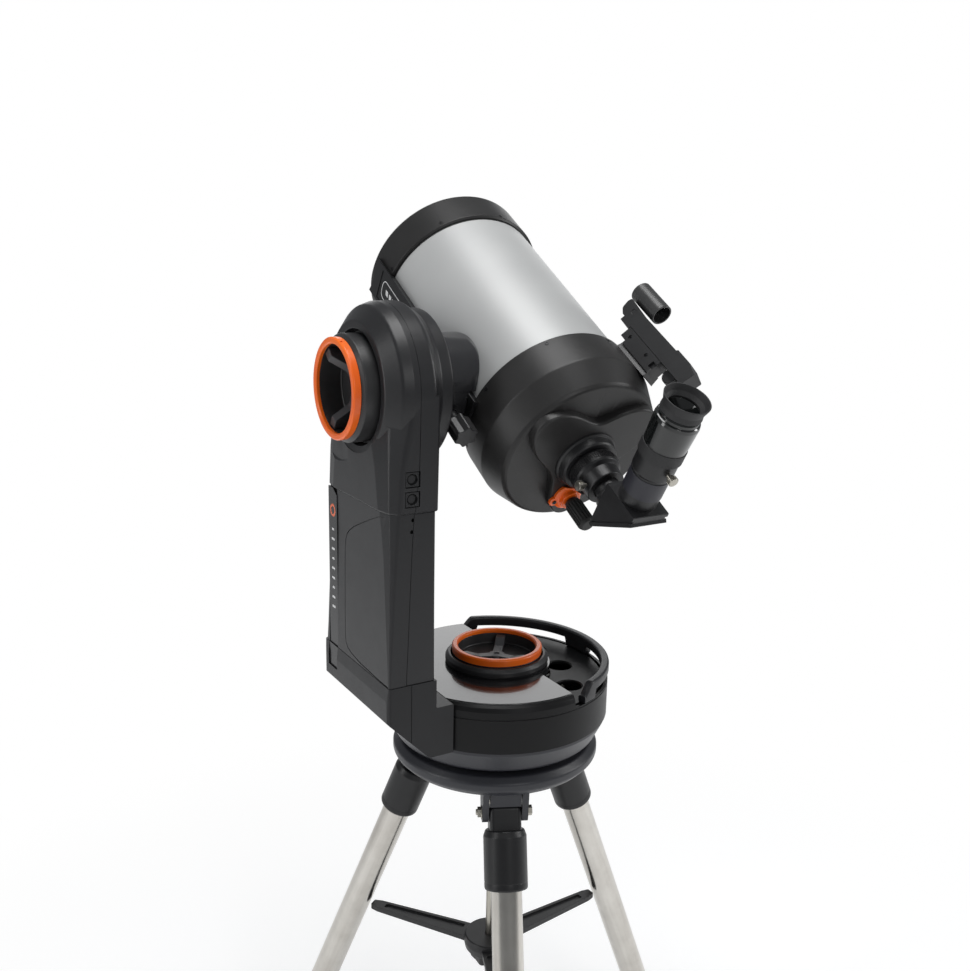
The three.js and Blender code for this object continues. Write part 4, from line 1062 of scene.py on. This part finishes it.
# --- Rear cell ------------------------------------------------------------------------------
# The graphite casting tapers behind its cylinder to a raised pedestal with three lobes: two up
# and one down, for the focuser. A dark collar stands on it for the accessory thread.
BACK, PEDESTAL, PORT_END = -148.5, -160, -174
LOBES = ((54, 34, 56), (180, 28, 48), (306, 34, 56))  # bearing and width in degrees, and reach
rear = lathe("rear_cell", [(111.7, -62.5, 0.3), (113.2, -62.5, 0.5), (CELL_R, -64.5, 1.5),
                           (CELL_R, -112, 9), (104.2, -144, 4), (101, BACK, 5), (21.3, BACK),
                           (21.3, BACK + 5), (99, BACK + 5), (108, -112), (108, -76), (111.7, -76)],
             TUBE, 192)


def lobed(inset):
    """The outline of the pedestal, drawn in by an inset."""
    row = []
    for angle in range(0, 360, 2):
        swell = 0
        for peak, width, reach in LOBES:
            away = min(abs(angle - peak), 360 - abs(angle - peak)) / width
            swell += reach * math.exp(-away ** 2)
        radius = min(45 + swell, 100.5) - inset
        row.append((radius * math.sin(math.radians(angle)), -radius * math.cos(math.radians(angle))))
    return row


weld(rear, loft("pedestal", [(BACK + 1, lobed(0)), (PEDESTAL + 3.6, lobed(0)), (PEDESTAL + 1.9, lobed(0.5)),
                             (PEDESTAL + 0.6, lobed(1.8)), (PEDESTAL, lobed(3.4))], TUBE))
cut(rear, rod("bore", 21.3, -180, -140, TUBE, 64), rod("focus_hole", 4, -180, -130, FOCUS))
fit(rear, graphite, "tube", "graphite_cell", "rear_cell", edge=0.6)
port = lathe("rear_port", [(21.3, -159), (41, -159), (40.4, -162.6, 1), (38, -164, 0.8),
                           (36.4, PORT_END + 2, 1.5), (35, PORT_END, 0.8), (21.3, PORT_END)], TUBE, 128)
fit(port, satin_black, "tube", "graphite_cell")
round_the_axis("port_screws", socket_head(2.2, 1.2), 3, 33,
               TUBE @ shift(0, 0, PORT_END) @ turn(180, "X"), screw_black, "tube", 20)

# --- Focuser --------------------------------------------------------------------------------
# A satin orange flange on the lower lobe, held by three screws, carries the ribbed rubber knob
# that turns the focus screw.
flange = lathe("focuser_flange", [(0, PEDESTAL - 0.3), (19.4, PEDESTAL - 0.3), (19.4, PEDESTAL - 3.8, 1),
                                  (15.6, PEDESTAL - 5.6, 1.5), (13.4, PEDESTAL - 6, 0.6),
                                  (12.8, PEDESTAL - 12, 1), (0, PEDESTAL - 12)], FOCUS, 96)
for angle in (40, 160, 280):
    lug = lathe("lug", [(0, PEDESTAL - 0.3), (6.4, PEDESTAL - 0.3), (6.4, PEDESTAL - 4, 1),
                        (0, PEDESTAL - 4)], FOCUS @ turn(angle, "Z") @ shift(19.5), 48)
    weld(flange, lug)
cut(flange, rod("screw_room", 4, -190, -150, FOCUS),
    lathe("port_room", [(0, -180), (39.5, -180), (39.5, PORT_END), (47, PEDESTAL + 1), (0, PEDESTAL + 1)],
          TUBE, 96))
fit(flange, orange_ring.material, "tube", "orange_plastic", "focuser_flange", edge=0.5)
round_the_axis("focuser_screws", socket_head(2.8, 1.6), 3, 19.5,
               FOCUS @ shift(0, 0, PEDESTAL - 3.9) @ turn(180, "X"), screw_black, "tube", 80)
focus_rubber = moulded("focus_rubber", (0.014, 0.014, 0.014), 0.62, 900, 0.0001)
focus_knob = lathe("focus_knob", [(0, -215), (8.4, -215, 1.6), (10, -212.6, 1), (10, -177, 1),
                                  (8.6, -173, 1), (3.6, -173), (3.6, -119.6), (0, -119.6)], FOCUS, 72)
fit(focus_knob, focus_rubber, "focuser", "rubber", "focus_knob")
rib = prism("rib", [(-2, -0.9, 0.4), (1.1, -0.9, 0.5), (1.1, 0.9, 0.5), (-2, 0.9, 0.4)], -210.5, -179,
            BENCH)
round_the_axis("focus_knob_ribs", rib, 18, 10, FOCUS, focus_rubber, "focuser")

# --- Visual back and star diagonal ----------------------------------------------------------
# Black anodised turnings. A knurled ring screws on the port, a barrel slides into it, and small
# plated thumbscrews hold the diagonal and the eyepiece.
BARREL_R = 15.9
BACK_SCREW_Z = -203
back = lathe("visual_back", [(BARREL_R + 0.3, -212, 0.4), (23.6, -212, 1), (24.4, -210), (25.4, -196, 1),
                             (29.6, -193, 1.5), (30.6, -190, 1), (30.6, -178.4, 1),
                             (29, PORT_END - 0.3, 0.5), (BARREL_R + 0.3, PORT_END - 0.3)], TUBE, 96)
cut(back, rod("hole", 3, -60, 0, TUBE @ shift(0, 0, BACK_SCREW_Z) @ turn(90, "Y"), 24))
fit(back, anodised, "tube", "black_aluminium", "visual_back", edge=0.3)
tooth = prism("tooth", [(-0.8, -0.62), (0.55, -0.2, 0.15), (0.55, 0.2, 0.15), (-0.8, 0.62)], -188, -180,
              BENCH)
round_the_axis("visual_back_knurl", tooth, 72, 30.6, TUBE, anodised, "tube")


def thumbscrew(name, place, body, node):
    """A plated thumbscrew along +Z from the barrel, with a knurled head."""
    screw = lathe(name, [(0, BARREL_R + 0.7), (2.7, BARREL_R + 0.7, 0.4), (2.7, 28), (4.4, 28, 0.4),
                         (4.4, 29.6, 0.3), (5.6, 30, 0.5), (5.6, 36.4, 0.6), (0, 37)], place, 32)
    fit(screw, zinc, body, "steel", node)
    tooth = prism("tooth", [(-0.6, -0.5), (0.45, -0.15), (0.45, 0.15), (-0.6, 0.5)], 30.6, 35.9, BENCH)
    round_the_axis(f"{name}_knurl", tooth, 28, 5.6, place, zinc, body)


thumbscrew("back_thumbscrew", TUBE @ shift(0, 0, BACK_SCREW_Z) @ turn(-90, "Y"), "back_screw",
           "visual_back_thumbscrew")
EYE_Z = -262
DIAGONAL_SCREW = 88
housing = prism("star_diagonal", [(29, -231, 1.5), (29, -239, 1.5), (-22, -292, 2), (-30, -292, 1.5),
                                  (-30, -231, 1.5)], -23, 23, TUBE @ PUSH_X)
soften(housing, 1.4)
weld(housing, prism("lid", [(33, -233.5, 1), (33, -238.5, 1), (-20, -295, 1), (-23.5, -291.5, 1),
                            (28.5, -236.5, 1), (28.5, -233.5, 1)], -25, 25, TUBE @ PUSH_X),
     prism("sill", [(-26, -292, 1), (-31.5, -292, 1), (-31.5, -233, 1), (-26, -233, 1)], -25, 25,
           TUBE @ PUSH_X))
weld(housing, lathe("nose", [(0, -235), (BARREL_R, -235), (BARREL_R, -184, 0.8), (0, -184)], TUBE, 64),
     lathe("shoulder", [(0, -232), (21, -232), (21, -224, 1.5), (0, -224)], TUBE, 64))
EYE = TUBE @ shift(0, 0, EYE_Z) @ turn(90, "X")
weld(housing, lathe("holder", [(0, 28), (23, 28), (23, 74, 1), (24.4, 77, 1), (24.4, 98, 0.8), (0, 98)],
                    EYE, 96))
cut(housing, rod("socket", BARREL_R + 0.3, 58, 110, EYE, 64),
    rod("light", 12, EYE_Z, -170, TUBE, 48), rod("light", 12, 10, 60, EYE, 48),
    rod("screw_hole", 3, -40, 0, TUBE @ shift(0, -DIAGONAL_SCREW, EYE_Z), 24))
diagonal_black = moulded("diagonal_black", (0.009, 0.009, 0.010), 0.36, 1300, 0.00005)
fit(housing, diagonal_black, "diagonal", "black_aluminium", "star_diagonal", edge=0.5)
thumbscrew("diagonal_thumbscrew", TUBE @ shift(0, -DIAGONAL_SCREW, EYE_Z) @ turn(180, "X"),
           "diagonal_screw", "diagonal_thumbscrew")
band = lathe("diagonal_band", [(23.2, 46), (23.7, 46, 0.2), (23.7, 72, 0.2), (23.2, 72)], EYE, 96)
band_grey = moulded("band_grey", (0.018, 0.018, 0.026), 0.42, 1300, 0.00003)
fit(band, band_grey, "diagonal", "black_plastic")
ticks = [block("tick", -0.4, 0.4, -0.9, 0.9, 23.5, 23.85,
               EYE @ turn(92 + 5 * n, "Z") @ turn(90, "Y") @ shift(-52)) for n in range(-4, 5)]
printed("diagonal_ticks", ticks, mark_orange, "diagonal", "orange_plastic")

# --- Eyepiece -------------------------------------------------------------------------------
# A gloss-lacquered barrel with a rubber grip, a coated lens down its throat and a soft flared
# eyecup.
eyepiece_gloss = moulded("eyepiece_gloss", (0.004, 0.005, 0.005), 0.14, 1300, 0.00001,
                         rough_vary=0.08, coat_weight=0.5, coat_roughness=0.06)
eyepiece = lathe("eyepiece", [(12, 60), (BARREL_R, 60, 0.5), (BARREL_R, 98.3), (25.4, 98.3, 1),
                              (25.4, 114, 0.6), (25.2, 116, 0.5), (26.4, 147, 2.5),
                              (25.6, 151, 1), (23.8, 152, 0.8), (23.4, 155, 0.6), (21.6, 157.6),
                              (21.6, 163, 0.8), (19.5, 163, 2), (13, 152, 2), (12, 141)], EYE, 96)
fit(eyepiece, eyepiece_gloss, "eyepiece", "black_aluminium", "eyepiece")
grip_rubber = moulded("grip_rubber", (0.016, 0.016, 0.017), 0.6, 900, 0.00008)
grip = lathe("eyepiece_grip", [(25, 98.6), (26.2, 98.6, 0.4), (26.2, 114.2, 0.4), (25, 114.2)], EYE, 96)
fit(grip, grip_rubber, "eyepiece", "rubber")
lens_glass = Finish("eye_lens", coat_weight=0.3, coat_roughness=0.05)
lens_haze = lens_glass.noise(60, 3)
lens_glass.feed(base_color=lens_glass.tones(lens_haze, (0.004, 0.006, 0.009), (0.007, 0.010, 0.014)),
                roughness=lens_haze * 0.04 + 0.02)
lens = lathe("eye_lens", [(0, 140), (11.9, 138.6), (11.9, 133), (0, 133)], EYE, 64)
dome = lathe("lens_dome", [(0, 141.2), (6, 140.7), (10, 139.3), (11.9, 138.2), (0, 138.2)], EYE, 64)
fit(weld(lens, dome), lens_glass.material, "eyepiece", "optical_glass")
eyecup = lathe("eyecup", [(22.3, 158.3), (24.5, 158.3, 0.6), (24.2, 161, 1.5), (23.6, 165, 3),
                          (26.8, 175, 1.5), (27.2, 176.4, 0.5), (25.6, 176.4, 0.5), (22.4, 170, 4),
                          (18.4, 165.4, 1), (18.4, 163.3), (22.3, 163.3)], EYE, 96)
fit(eyecup, grip_rubber, "eyepiece", "rubber", "eyecup")

# --- Finder ---------------------------------------------------------------------------------
# A red-dot finder in black plastic on a stepped clamp, on a short rail screwed to the rear
# cell. A thumbwheel under its tail sets the brightness.
FINDER = TUBE @ turn(40, "Z")
SIGHT = FINDER @ shift(0, -180)
WHEEL = FINDER @ shift(0, -139, -146) @ turn(90, "Y")
CLAMP_Y, CLAMP_ZS = -133.6, (-107, -70.5)
finder_black = moulded("finder_black", (0.012, 0.012, 0.013), 0.42, 1100, 0.00003)
rail = prism("finder_bracket", [(-16, -112), (-13, -119.5, 1), (-12.4, -122, 0.6), (-10.4, -128, 0.6),
                                (10.4, -128, 0.6), (12.4, -122, 0.6), (13, -119.5, 1), (16, -112)],
             -128, -68, FINDER)
cut(rail, rod("cell_room", CELL_R + 0.3, -140, -50, TUBE, 180))
weld(rail, prism("clamp", [(-126.4, -58.5), (-141.6, -58.5), (-141.6, -129), (-136, -129),
                           (-136, -121, 1), (-126.4, -121)], -13.6, 13.6, FINDER @ PUSH_X),
     block("jaw", -15, -11, -127.4, -121.6, -128, -70, FINDER),
     block("end", -10, 10, -136.4, -121.6, -127, -118, FINDER))
for z in CLAMP_ZS:
    cut(rail, rod("recess", 2.6, 11.5, 20, FINDER @ shift(0, CLAMP_Y, z) @ turn(-90, "Y"), 24))
fit(rail, finder_black, "tube", "black_plastic", "finder_bracket", edge=0.6)
for n, z in enumerate(CLAMP_ZS, 1):
    set_in(socket_head(2.3, 1.6), f"finder_clamp_screw_{n}",
           FINDER @ shift(-11.5, CLAMP_Y, z) @ turn(-90, "Y"), screw_black, "tube")
finder = prism("finder_body", [(-141.9, -57), (-141.9, -171.5, 1.5), (-162, -173.4, 2), (-166.6, -157, 3),
                               (-166.6, -131, 1), (-164.4, -129.4, 0.6), (-163.4, -62, 3), (-166, -24, 3),
                               (-160, -22.6, 3), (-150, -25, 5), (-145, -33, 3), (-145, -37.4, 0.5),
                               (-138.6, -37.4, 1), (-138.6, -57, 1)], -12.6, 12.6, FINDER @ PUSH_X)
cut(finder, block("wheel_slot", -5, 5, -151, -130, -158, -134, FINDER),
    rod("pivot", 3.4, 11.9, 20, FINDER @ shift(0, -157, -42) @ turn(-90, "Y")),
    rod("inside", 11.4, -70, -10, SIGHT, 48))
sight = lathe("finder_sight", [(11.4, -65, 0.4), (13.6, -65, 0.8), (13.6, -14.5, 0.8),
                               (11.4, -14.5, 0.4)], SIGHT, 72)
sight_grey = moulded("sight_grey", (0.034, 0.034, 0.034), 0.36, 1500, 0.00001)
fit(sight, sight_grey, "tube", "black_plastic")
fit(finder, finder_black, "tube", "black_plastic", "finder_body", edge=0.8)
fit(rod("finder_window", 11.3, -34, -32, SIGHT, 48), plate_glass.material, "tube", "optical_glass")
wheel = lathe("finder_wheel", [(0, -4), (9.2, -4, 0.8), (9.2, 4, 0.8), (0, 4)], WHEEL, 64)
fit(wheel, finder_black, "finder_wheel", "black_plastic", "finder_wheel")
tooth = prism("tooth", [(-0.8, -0.7), (0.75, -0.3, 0.2), (0.75, 0.3, 0.2), (-0.8, 0.7)], -3.4, 3.4, BENCH)
round_the_axis("finder_wheel_teeth", tooth, 32, 9.2, WHEEL, finder_black, "finder_wheel")
